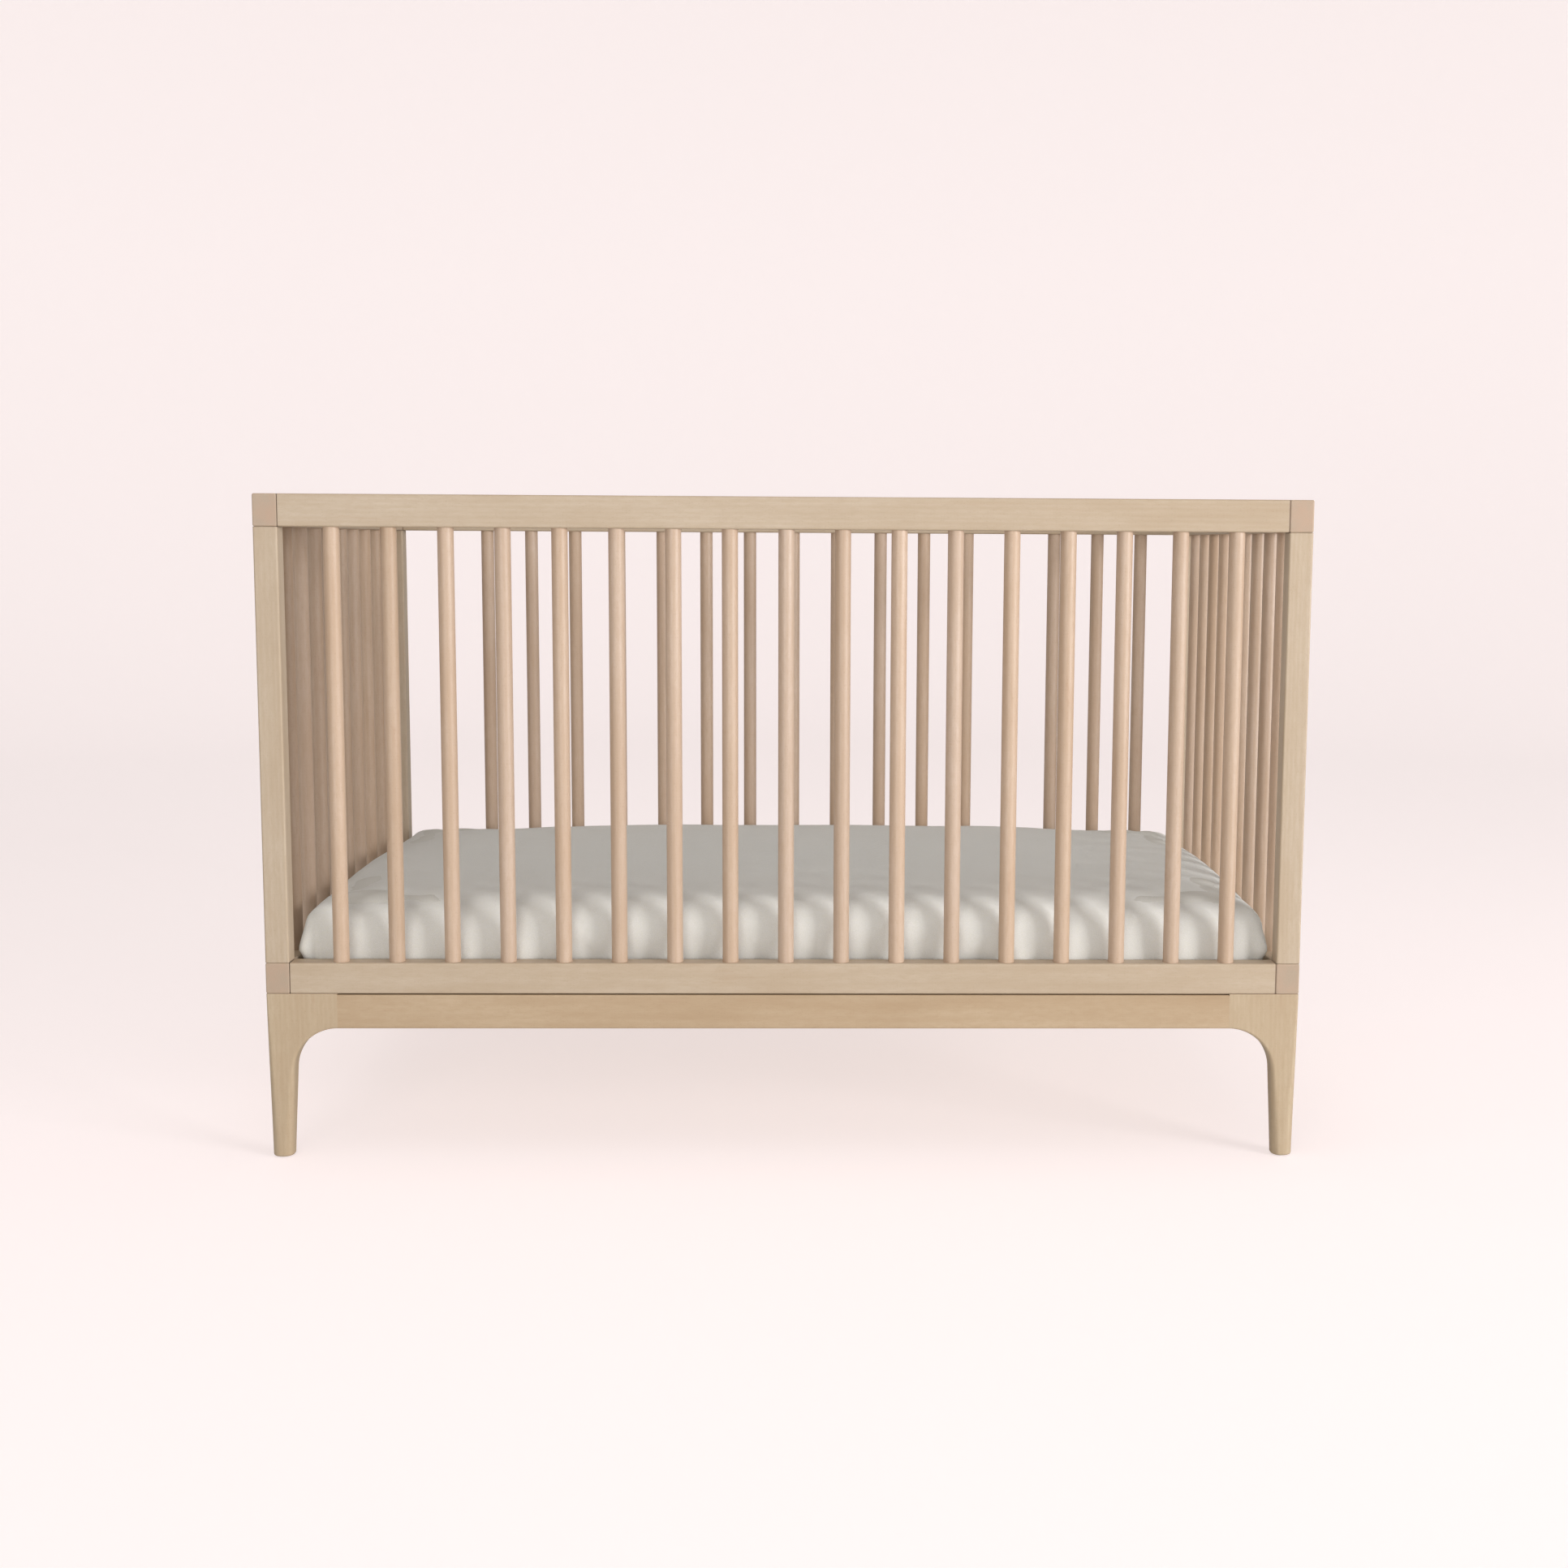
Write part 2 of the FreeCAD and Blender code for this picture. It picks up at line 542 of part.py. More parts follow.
def shape_leg(blank, name):
    """Round a leg blank: its upright edges open out toward the foot."""
    small, large = value("Sizes.edge_round"), value("Sizes.foot_round")
    half_thick = value("Sizes.side_thick") / 2
    foot_z, crown_z = value("Sizes.foot_lift"), value("Sizes.base_high")
    joint_x, arch_top = value("Sizes.bracket_wide"), value(APRON_UNDER)
    uprights = []
    for number, edge in enumerate(blank.Shape.Edges, start=1):
        on_a_face = all(abs(abs(v.Y) - half_thick) < 0.01 for v in edge.Vertexes)
        ends = [edge.valueAt(edge.FirstParameter), edge.valueAt(edge.LastParameter)]
        first, last = ends
        level_or_joint = abs(first.z - last.z) < 1 or abs(first.x - last.x) < 0.01
        if on_a_face and not level_or_joint and abs(first.y - last.y) < 0.01:
            # The outer edge narrows up to the rail, the inner one up to the apron.
            top_z = crown_z if max(first.z, last.z) > crown_z - 0.01 else arch_top
            radii = [large + (small - large) * (end.z - foot_z) / (top_z - foot_z)
                     for end in ends]
            if edge.Curve.TypeId == "Part::GeomCircle":
                radii.reverse()  # the arch's edge runs against the leg's in one chain
            uprights.append((number, *radii))
    shaped = doc.addObject("Part::Fillet", f"{name}_shaped")
    shaped.Base = blank
    shaped.Edges = uprights
    doc.recompute()

    rims = []
    for number, edge in enumerate(shaped.Shape.Edges, start=1):
        box = edge.BoundBox
        reach = max(box.XLength, box.YLength)
        if box.ZLength > 0.01 or reach < 1:
            continue
        centre_hole = edge.Curve.TypeId == "Part::GeomCircle" and edge.isClosed()
        if abs(box.ZMin - foot_z) < 0.01 and not centre_hole:
            rims.append((number, value("Sizes.foot_edge_round"), value("Sizes.foot_edge_round")))
        if abs(box.ZMin - crown_z) < 0.01 and not centre_hole and box.XMin < joint_x - 0.01:
            rims.append((number, value("Sizes.joint_round"), value("Sizes.joint_round")))
    finished = doc.addObject("Part::Fillet", name)
    finished.Base = shaped
    finished.Edges = rims
    doc.recompute()
    return finished


def leg(label, across, depth):
    """A leg with its curved bracket. across is -1 at the left, depth -1 at the front."""
    body = new_body(f"{label}_blank")
    sketch = new_sketch(body, "Outline", "XZ_Plane")
    leg_outline(sketch)
    extrude(body, sketch, "Sizes.side_thick", both_ways=True)
    foot_mid = "Sizes.foot_taper + Sizes.foot_wide / 2"
    drill(body, "GlideSeat", "Z", 1, "Sizes.foot_lift", foot_mid, "0",
          "Sizes.glide_dia + 2 * Sizes.fit_gap", "Sizes.glide_thick - Sizes.foot_lift")
    drill(body, "NailHole", "Z", 1, "Sizes.foot_lift", foot_mid, "0",
          "Sizes.nail_dia + 2 * Sizes.fit_gap",
          "Sizes.glide_thick - Sizes.foot_lift + Sizes.nail_long + Sizes.hole_spare")
    arch_z = f"{APRON_UNDER} - Sizes.arch_radius / 2"
    drill(body, "BoltSeat", "Z", 1, arch_z, LEG_BOLT_IN, "0", HEAD_HOLE,
          f"{BASE_SEAT} - ({arch_z})")
    drill(body, "BoltHole", "Z", 1, arch_z, LEG_BOLT_IN, "0", BOLT_HOLE,
          f"Sizes.base_high - ({arch_z})")
    # The face toward the end apron: +Y on a leg drawn for the left front or right back.
    for way in (-1, 1):
        level = f"{APRON_MID} + {way} * Sizes.base_dowel_spread / 2"
        deep = "Sizes.base_dowel_half + Sizes.hole_spare"
        drill(body, "ApronDowel", "X", -1, "Sizes.bracket_wide", "0", level, HOLE, deep)
        toward_back = 1 if across * depth > 0 else -1
        drill(body, "EndDowel", "Y", -toward_back, f"{toward_back} * Sizes.side_thick / 2",
              "Sizes.end_apron_thick / 2", level, HOLE, deep)
    finished = shape_leg(body, label)
    place(finished, f"{across} * {HALF_OUT_X}", f"{depth} * {SIDE_MID_Y}", "0",
          0 if across < 0 else 180)
    return piece(finished, label)


for depth, row_name in ((-1, "front"), (1, "back")):
    for across, column in ((-1, "left"), (1, "right")):
        leg(f"{row_name}_{column}_leg", across, depth)

# ---- hardware: groups of identical fasteners ---------------------------------------

TURNED = {
    "+Z": Rotation(),
    "-Z": Rotation(VECTOR["X"], 180),
    "+X": Rotation(VECTOR["Y"], 90),
    "-X": Rotation(VECTOR["Y"], -90),
    "+Y": Rotation(VECTOR["X"], -90),
    "-Y": Rotation(VECTOR["X"], 90),
}
OPPOSITE = {"+": "-", "-": "+"}


def shifted(at, way, amount):
    """A place moved along a direction such as +X by an amount."""
    index = "XYZ".index(way[1])
    return [f"{old} {way[0]} ({amount})" if index == n else old for n, old in enumerate(at)]


def solid(kind, name, at, way, **lengths):
    """A Part primitive that starts at a place and grows in a direction such as +X."""
    shape = doc.addObject(kind, name)
    shape.Placement = Placement(Vector(), TURNED[way])
    for axis, expression in zip("xyz", at):
        shape.setExpression(f"Placement.Base.{axis}", expression)
    for size_name, expression in lengths.items():
        shape.setExpression(size_name, expression)
    return shape


def rod(name, at, way, diameter, long):
    return solid("Part::Cylinder", name, at, way, Radius=f"{diameter} / 2", Height=long)


def tube(name, at, way, outer, inner, long):
    cut = doc.addObject("Part::Cut", name)
    cut.Base = rod(f"{name}_outer", at, way, outer, long)
    cut.Tool = rod(f"{name}_bore", at, way, inner, long)
    return cut


def bolt(name, seat, way, diameter, long, head, head_high, key):
    """A bolt with a hexagon-socket head: seat is under its head, way points to its tip."""
    away = OPPOSITE[way[0]] + way[1]
    joined = doc.addObject("Part::MultiFuse", f"{name}_solid")
    joined.Shapes = [rod(f"{name}_shank", seat, way, diameter, long),
                     rod(f"{name}_head", seat, away, head, head_high)]
    socket = solid("Part::Prism", f"{name}_key", shifted(seat, away, head_high), way,
                   Circumradius=f"{key} / sqrt(3)", Height=f"0.6 * {head_high}")
    socket.Polygon = 6
    cut = doc.addObject("Part::Cut", name)
    cut.Base = joined
    cut.Tool = socket
    return cut


def group(label, members):
    """One sub-part made of identical separate solids."""
    together = doc.addObject("Part::Compound", label)
    together.Links = members
    return piece(together, label)


def signs(count):
    """Every combination of -1 and 1 for so many directions."""
    if count == 0:
        return [()]
    return [(sign, *rest) for sign in (-1, 1) for rest in signs(count - 1)]


def outward(sign, axis):
    return ("+" if sign > 0 else "-") + axis


glides, post_dowels, rail_dowels, base_dowels = [], [], [], []
connectors, barrels, base_bolts, inserts = [], [], [], []
base_bolt_long = (f"(Sizes.base_high - {BASE_SEAT} + Sizes.insert_long"
                  " - Sizes.fit_gap)")
insert_bore = "(Sizes.bolt_dia + Sizes.fit_gap)"


def base_bolt(x, y):
    base_bolts.append(bolt("base_bolt", (x, y, BASE_SEAT), "+Z", "Sizes.bolt_dia",
                           base_bolt_long, "Sizes.bolt_head_dia", "Sizes.bolt_head_high",
                           "Sizes.bolt_key"))
    inserts.append(tube("base_insert", (x, y, "Sizes.base_high"), "+Z", "Sizes.insert_dia",
                        insert_bore, "Sizes.insert_long"))


for across, depth in signs(2):
    side_y = f"{depth} * {SIDE_MID_Y}"
    foot_x = f"{across} * ({HALF_OUT_X} - Sizes.foot_taper - Sizes.foot_wide / 2)"
    glide = doc.addObject("Part::MultiFuse", "glide")
    glide.Shapes = [
        rod("glide_disc", (foot_x, side_y, "0"), "+Z", "Sizes.glide_dia", "Sizes.glide_thick"),
        rod("glide_nail", (foot_x, side_y, "0"), "+Z", "Sizes.nail_dia",
            "(Sizes.glide_thick + Sizes.nail_long)"),
    ]
    glides.append(glide)
    for side in (-1, 1):
        dowel_x = f"{across} * {END_MID_X} + {side} * Sizes.post_dowel_spread / 2"
        long = f"(Sizes.dowel_in_post + {DOWEL_IN_RAIL})"
        low = f"{BOTTOM_RAIL_TOP} - {DOWEL_IN_RAIL}"
        high = f"{TOP_RAIL_UNDER} - Sizes.dowel_in_post"
        for start in (low, high):
            post_dowels.append(rod("post_dowel", (dowel_x, side_y, start), "+Z",
                                   "Sizes.dowel_dia", long))
        level = f"{APRON_MID} + {side} * Sizes.base_dowel_spread / 2"
        joint_x = f"{across} * ({HALF_OUT_X} - Sizes.bracket_wide) - Sizes.base_dowel_half"
        base_dowels.append(rod("base_dowel", (joint_x, side_y, level), "+X",
                               "Sizes.dowel_dia", "2 * Sizes.base_dowel_half"))
        joint_y = f"{depth} * {HALF_IN_Y} - Sizes.base_dowel_half"
        end_x = f"{across} * ({HALF_OUT_X} - Sizes.end_apron_thick / 2)"
        base_dowels.append(rod("base_dowel", (end_x, joint_y, level), "+Y",
                               "Sizes.dowel_dia", "2 * Sizes.base_dowel_half"))
    base_bolt(f"{across} * ({HALF_OUT_X} - {LEG_BOLT_IN})", side_y)
    base_bolt(f"{across} * Sizes.apron_bolt_out", side_y)

for across in (-1, 1):
    base_bolt(f"{across} * {END_MID_X}", "0")

for across, depth, upper in signs(3):
    side_y = f"{depth} * {SIDE_MID_Y}"
    level = TOP_RAIL_MID if upper > 0 else BOTTOM_RAIL_MID
    dowel_start = f"{across} * {HALF_IN_X} - Sizes.rail_dowel_half"
    rail_dowels.append(rod("rail_dowel",
                           (dowel_start, side_y, f"{level} + {upper} * {RAIL_DOWEL_OFF}"),
                           "+X", "Sizes.dowel_dia", "2 * Sizes.rail_dowel_half"))
    seat_x = f"{across} * ({HALF_OUT_X} - Sizes.connector_sunk)"
    connector_long = ("(Sizes.end_thick - Sizes.connector_sunk + Sizes.barrel_in"
                      " + Sizes.bolt_past)")
    connectors.append(bolt("connector", (seat_x, side_y, level), outward(-across, "X"),
                           "Sizes.bolt_dia", connector_long, "Sizes.bolt_head_dia",
                           "Sizes.bolt_head_high", "Sizes.bolt_key"))
    barrel_x = f"{across} * ({HALF_IN_X} - Sizes.barrel_in)"
    barrel = doc.addObject("Part::Cut", "barrel")
    barrel.Base = rod("barrel_body", (barrel_x, side_y, f"{level} - Sizes.barrel_long / 2"),
                      "+Z", "Sizes.barrel_dia", "Sizes.barrel_long")
    barrel.Tool = rod("barrel_thread", (f"{barrel_x} - Sizes.barrel_dia", side_y, level), "+X",
                      insert_bore, "2 * Sizes.barrel_dia")
    barrels.append(barrel)

group("leg_glides", glides)
group("post_dowels", post_dowels)
group("rail_dowels", rail_dowels)
group("base_dowels", base_dowels)
group("connector_bolts", connectors)
group("barrel_nuts", barrels)
group("base_bolts", base_bolts)
group("base_inserts", inserts)

# ---- mattress support --------------------------------------------------------------

SCREW_LEVEL = f"({BOTTOM_RAIL_MID} - Sizes.screw_low)"
DECK_HALF_X = f"({HALF_IN_X} - Sizes.deck_end_gap)"
DECK_HALF_Y = f"({HALF_IN_Y} - Sizes.deck_side_gap)"
BEARER_MID = "(Sizes.deck_under + Sizes.bearer_high / 2)"
SLAT_UNDER = "(Sizes.deck_under + Sizes.bearer_high)"
DECK_TOP = "(Sizes.deck_under + Sizes.bearer_high + Sizes.slat_thick)"


def deck_bracket(label, across, depth):
    """A steel angle screwed to the end rail, with the deck resting on its foot.

    Drawn for the left end; turned half round for the right one.
    """
    body = new_body(label)
    sketch = new_sketch(body, "Angle", "XZ_Plane")
    under = "Sizes.deck_under - Sizes.bracket_thick"
    top = f"{SCREW_LEVEL} + Sizes.bracket_above"
    foot = "Sizes.bracket_thick + Sizes.bracket_foot"
    draw_outline(sketch, [
        ("0", under), (foot, under), (foot, "Sizes.deck_under"),
        ("Sizes.bracket_thick", "Sizes.deck_under"), ("Sizes.bracket_thick", top), ("0", top),
    ])
    extrude(body, sketch, "Sizes.strip_wide", both_ways=True)
    corner_x = value("Sizes.bracket_thick + Sizes.bracket_foot")

    def outer_corner(edge):
        mid = edge.CenterOfMass
        at_tip = abs(mid.x - corner_x) < 0.01
        at_top = abs(mid.z - value(top)) < 0.01
        return (at_tip and runs_along(edge, "Z")) or (at_top and runs_along(edge, "X"))

    round_edges(body, "2 * Sizes.bracket_thick", outer_corner)
    for way in (-1, 1):
        drill(body, "ScrewHole", "X", 1, "0", f"{way} * Sizes.screw_spread / 2", SCREW_LEVEL,
              "Sizes.screw_dia + 2 * Sizes.fit_gap", "Sizes.bracket_thick")
    place(body, f"{across} * {HALF_IN_X}", f"{depth} * ({HALF_IN_Y} - Sizes.bracket_off)", "0",
          0 if across < 0 else 180)
    return piece(body, label)


bracket_screws, bracket_inserts = [], []
for across, depth in signs(2):
    column, row_name = ("left" if across < 0 else "right"), ("front" if depth < 0 else "back")
    deck_bracket(f"{row_name}_{column}_bracket", across, depth)
    for side in (-1, 1):
        screw_y = (f"{depth} * ({HALF_IN_Y} - Sizes.bracket_off)"
                   f" + {side} * Sizes.screw_spread / 2")
        away = outward(across, "X")
        seat = (f"{across} * ({HALF_IN_X} - Sizes.bracket_thick)", screw_y, SCREW_LEVEL)
        bracket_screws.append(bolt("bracket_screw", seat, away, "Sizes.screw_dia",
                                   "(Sizes.bracket_thick + Sizes.screw_insert_long"
                                   " - Sizes.fit_gap)",
                                   "2 * Sizes.screw_dia", "Sizes.screw_head_high",
                                   "0.6 * Sizes.screw_dia"))
        bracket_inserts.append(tube("bracket_insert",
                                    (f"{across} * {HALF_IN_X}", screw_y, SCREW_LEVEL), away,
                                    "Sizes.screw_insert_dia",
                                    "(Sizes.screw_dia + Sizes.fit_gap)",
                                    "Sizes.screw_insert_long"))
group("bracket_screws", bracket_screws)
group("bracket_inserts", bracket_inserts)

SLAT_SPAN = f"(2 * {DECK_HALF_X} - Sizes.slat_wide)"
PILOT = "(Sizes.slat_screw_dia + 2 * Sizes.fit_gap)"
PILOT_DEEP = ("(Sizes.slat_screw_long - (Sizes.slat_thick - Sizes.slat_screw_sunk)"
              " + Sizes.hole_spare)")
DECK_DOWEL_DEEP = "(Sizes.base_dowel_half + Sizes.hole_spare)"


def long_bearer(label, depth):
    """The front or back bearer of the deck, under the slat ends."""
    body = bar(label, "X", f"2 * {DECK_HALF_X}", "Sizes.bearer_wide", "Sizes.bearer_high")
    soften(body, "X", free_ends=False)
    first = f"-({DECK_HALF_X} - Sizes.slat_wide / 2)"
    pilot = drill(body, "Pilot", "Z", -1, "Sizes.bearer_high / 2", first, "0", PILOT, PILOT_DEEP)
    repeat(body, [pilot], "X", SLAT_SPAN, "Sizes.slat_count")
    hole = drill(body, "Dowel", "Y", depth, f"{-depth} * Sizes.bearer_wide / 2",
                 f"-({DECK_HALF_X} - Sizes.bearer_wide / 2)", "0", HOLE, DECK_DOWEL_DEEP)
    mirror(body, [hole], "YZ_Plane")
    place(body, "0", f"{depth} * ({DECK_HALF_Y} - Sizes.bearer_wide / 2)", BEARER_MID)
    return piece(body, label)


def short_bearer(label, across):
    """The left or right bearer, dowelled between the front and the back one."""
    half = f"({DECK_HALF_Y} - Sizes.bearer_wide)"
    body = bar(label, "Y", f"2 * {half}", "Sizes.bearer_wide", "Sizes.bearer_high")
    soften(body, "Y", free_ends=False)
    hole = drill(body, "Dowel", "Y", 1, f"-{half}", "0", "0", HOLE, DECK_DOWEL_DEEP)
    mirror(body, [hole], "XZ_Plane")
    drill(body, "CentreDowel", "X", across, f"{-across} * Sizes.bearer_wide / 2", "0", "0", HOLE,
          DECK_DOWEL_DEEP)
    place(body, f"{across} * ({DECK_HALF_X} - Sizes.bearer_wide / 2)", "0", BEARER_MID)
    return piece(body, label)


def centre_bearer(label):
    """The bearer along the middle of the deck, dowelled into the end bearers."""
    half = f"({DECK_HALF_X} - Sizes.bearer_wide)"
    body = bar(label, "X", f"2 * {half}", "Sizes.bearer_wide", "Sizes.bearer_high")
    soften(body, "X", free_ends=False)
    hole = drill(body, "Dowel", "X", 1, f"-{half}", "0", "0", HOLE, DECK_DOWEL_DEEP)
    mirror(body, [hole], "YZ_Plane")
    place(body, "0", "0", BEARER_MID)
    return piece(body, label)


def slats(label):
    """The slats across the deck, screwed down at both ends."""
    body = bar(label, "Y", f"2 * {DECK_HALF_Y}", "Sizes.slat_wide", "Sizes.slat_thick")
    round_edges(body, "Sizes.slat_round", lambda edge: runs_along(edge, "Y"))
    screw_y = f"-({DECK_HALF_Y} - Sizes.bearer_wide / 2)"
    holes = [
        drill(body, "HeadSeat", "Z", -1, "Sizes.slat_thick / 2", "0", screw_y,
              "Sizes.slat_screw_head + 2 * Sizes.fit_gap", "Sizes.slat_screw_sunk"),
        drill(body, "ScrewHole", "Z", -1, "Sizes.slat_thick / 2", "0", screw_y, PILOT,
              "Sizes.slat_thick"),
    ]
    mirror(body, holes, "XZ_Plane")
    row_of = repeat(body, [], "X", SLAT_SPAN, "Sizes.slat_count")
    row_of.TransformMode = "Whole shape"
    doc.recompute()
    place(body, f"-({DECK_HALF_X} - Sizes.slat_wide / 2)", "0",
          f"{SLAT_UNDER} + Sizes.slat_thick / 2")
    return piece(body, label)


long_bearer("deck_front_bearer", -1)
long_bearer("deck_back_bearer", 1)
short_bearer("deck_left_bearer", -1)
short_bearer("deck_right_bearer", 1)
centre_bearer("deck_centre_bearer")
slats("deck_slats")

deck_dowels = []
for across in (-1, 1):
    dowel_x = f"{across} * ({DECK_HALF_X} - Sizes.bearer_wide / 2)"
    for depth in (-1, 1):
        start_y = f"{depth} * ({DECK_HALF_Y} - Sizes.bearer_wide) - Sizes.base_dowel_half"
        deck_dowels.append(rod("deck_dowel", (dowel_x, start_y, BEARER_MID), "+Y",
                               "Sizes.dowel_dia", "2 * Sizes.base_dowel_half"))
    start_x = f"{across} * ({DECK_HALF_X} - Sizes.bearer_wide) - Sizes.base_dowel_half"
    deck_dowels.append(rod("deck_dowel", (start_x, "0", BEARER_MID), "+X", "Sizes.dowel_dia",
                           "2 * Sizes.base_dowel_half"))
group("deck_dowels", deck_dowels)

slat_screws = []
for number in range(int(value("Sizes.slat_count"))):
    screw_x = (f"-({DECK_HALF_X} - Sizes.slat_wide / 2)"
               f" + {number} * {SLAT_SPAN} / (Sizes.slat_count - 1)")
    for depth in (-1, 1):
        screw_y = f"{depth} * ({DECK_HALF_Y} - Sizes.bearer_wide / 2)"
        seat = (screw_x, screw_y, f"{DECK_TOP} - Sizes.slat_screw_sunk")
        slat_screws.append(bolt("slat_screw", seat, "-Z", "Sizes.slat_screw_dia",
                                "Sizes.slat_screw_long", "Sizes.slat_screw_head",
                                "(Sizes.slat_screw_sunk - Sizes.fit_gap)",
                                "0.7 * Sizes.slat_screw_dia"))
group("slat_screws", slat_screws)

# ---- mattress and fitted sheet -----------------------------------------------------


def cushion(name, grow, under):
    """The mattress's form, grown outward by grow, with its underside at a height."""
    body = new_body(name)
    sketch = new_sketch(body, "Plan", "XY_Plane", under)
    half_x = f"({HALF_IN_X} - Sizes.mattress_gap - Sizes.sheet_thick + {grow})"
    half_y = f"({HALF_IN_Y} - Sizes.mattress_gap - Sizes.sheet_thick + {grow})"
    draw_outline(sketch, [
        (f"-{half_x}", f"-{half_y}"), (half_x, f"-{half_y}"),
        (half_x, half_y), (f"-{half_x}", half_y),
    ])
    extrude(body, sketch, f"Sizes.mattress_high + 2 * {grow}")
    round_edges(body, f"Sizes.mattress_corner + {grow}", lambda edge: runs_along(edge, "Z"))
    top_z = value(f"{under} + Sizes.mattress_high + 2 * {grow}")
    low_z = value(under)

    def level(height):
        return lambda edge: all(abs(v.Z - height) < 0.01 for v in edge.Vertexes)

    round_edges(body, f"Sizes.mattress_top_round + {grow}", level(top_z))
    round_edges(body, f"Sizes.mattress_low_round + {grow}", level(low_z))
    return body


SHEET_UNDER = f"({DECK_TOP} + Sizes.mattress_lift_gap)"
CORE_UNDER = f"({SHEET_UNDER} + Sizes.sheet_thick)"
piece(cushion("mattress", "0", CORE_UNDER), "mattress")

opening = doc.addObject("Part::Box", "sheet_opening")
opening_x = f"({HALF_IN_X} - Sizes.mattress_gap - Sizes.sheet_turn)"
opening_y = f"({HALF_IN_Y} - Sizes.mattress_gap - Sizes.sheet_turn)"
opening.setExpression("Length", f"2 * {opening_x}")
opening.setExpression("Width", f"2 * {opening_y}")
opening.setExpression("Height", "4 * Sizes.sheet_thick")
place(opening, f"-{opening_x}", f"-{opening_y}", f"{SHEET_UNDER} - 2 * Sizes.sheet_thick")

inner_form = cushion("sheet_inside", "0", CORE_UNDER)
hollow = doc.addObject("Part::MultiFuse", "sheet_hollow")
hollow.Shapes = [inner_form, opening]
fitted_sheet = doc.addObject("Part::Cut", "fitted_sheet")
fitted_sheet.Base = cushion("sheet_outside", "Sizes.sheet_thick", SHEET_UNDER)
fitted_sheet.Tool = hollow
piece(fitted_sheet, "fitted_sheet")

# ---- check and export --------------------------------------------------------------

doc.recompute()
for checked in doc.Objects:
    if "Invalid" in checked.State or "Error" in checked.State:
        raise RuntimeError(f"{checked.Label} is {checked.State}")

os.makedirs("parts", exist_ok=True)
for finished in pieces:
    if finished.Shape.isNull() or not finished.Shape.isValid():
        raise RuntimeError(f"{finished.Label} has no valid shape")
    finished.Shape.exportStep(f"parts/{finished.Label}.step")
    print(finished.Label, len(finished.Shape.Solids), round(finished.Shape.Volume / 1000, 1))
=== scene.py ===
import math

import bmesh
import bpy
from mathutils import Matrix, Vector, noise


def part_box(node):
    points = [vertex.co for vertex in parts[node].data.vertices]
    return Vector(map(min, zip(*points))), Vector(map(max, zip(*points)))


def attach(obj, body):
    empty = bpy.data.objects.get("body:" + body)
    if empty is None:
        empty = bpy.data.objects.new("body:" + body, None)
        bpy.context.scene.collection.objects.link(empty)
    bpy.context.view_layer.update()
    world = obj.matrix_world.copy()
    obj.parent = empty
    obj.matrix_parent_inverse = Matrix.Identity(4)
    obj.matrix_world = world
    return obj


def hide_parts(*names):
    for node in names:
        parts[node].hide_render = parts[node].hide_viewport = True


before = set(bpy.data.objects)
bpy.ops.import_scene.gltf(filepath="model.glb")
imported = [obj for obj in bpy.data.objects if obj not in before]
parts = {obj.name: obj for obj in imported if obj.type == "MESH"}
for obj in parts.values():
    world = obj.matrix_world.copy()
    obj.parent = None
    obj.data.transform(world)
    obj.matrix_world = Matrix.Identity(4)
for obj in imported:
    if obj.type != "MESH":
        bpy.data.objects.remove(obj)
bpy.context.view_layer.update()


# The camera stands in front of the crib, a little lower than its top rail and right of the
# middle, and looks slightly down and to the right. It has a standard lens on a 36 mm
# sensor, with everything in focus.
EYE = Vector((0.04056, -2.83728, 0.83263))
YAW, PITCH, ROLL = 0.0221, -0.1094, 0.0059
ahead = Vector((math.sin(YAW) * math.cos(PITCH), math.cos(YAW) * math.cos(PITCH),
                math.sin(PITCH)))
level = Vector((math.cos(YAW), -math.sin(YAW), 0.0))
above = level.cross(ahead)
side_axis = math.cos(ROLL) * level + math.sin(ROLL) * above
up_axis = -math.sin(ROLL) * level + math.cos(ROLL) * above
lens = bpy.data.cameras.new("nursery_camera")
lens.lens, lens.sensor_width = 42.567, 36.0
lens.shift_x, lens.shift_y = -0.0467, -0.0234
lens.clip_start, lens.clip_end = 0.05, 60.0
camera = bpy.data.objects.new("nursery_camera", lens)
bpy.context.scene.collection.objects.link(camera)
camera.matrix_world = Matrix((
    (side_axis.x, up_axis.x, -ahead.x, EYE.x),
    (side_axis.y, up_axis.y, -ahead.y, EYE.y),
    (side_axis.z, up_axis.z, -ahead.z, EYE.z),
    (0.0, 0.0, 0.0, 1.0)))
bpy.context.scene.camera = camera


# The studio floor is a round sheet of pale pink paper that rises at its rim into a wall,
# so that no horizon shows from any side. It glows a little, which keeps shadows soft.
FLOOR_RADIUS, SWEEP_RADIUS, WALL_HIGH = 5.0, 2.2, 3.0
PAPER, BOUNCE_GREY = (0.94, 0.845, 0.835), (0.62, 0.61, 0.60)
PAPER_GLOW, BOUNCE_GLOW, PAPER_SHADE = 0.70, 0.16, 0.58


def linear(red, green, blue):
    """A colour given as 0 to 255 in sRGB, as the shader wants it."""
    return [((c / 255 + 0.055) / 1.055) ** 2.4 for c in (red, green, blue)] + [1.0]


def add(tree, kind, sockets=None, **settings):
    """Adds one shader node. A socket takes a number, a colour or another node's output."""
    made = tree.nodes.new("ShaderNode" + kind)
    for name, setting in settings.items():
        setattr(made, name, setting)
    for name, given in (sockets or {}).items():
        if isinstance(given, bpy.types.NodeSocket):
            tree.links.new(given, made.inputs[name])
        else:
            made.inputs[name].default_value = given
    return made


def finish_named(name):
    """A new material with an empty tree and its output node."""
    material = bpy.data.materials.new(name)
    material.use_nodes = True
    material.node_tree.nodes.clear()
    return material, material.node_tree, add(material.node_tree, "OutputMaterial")


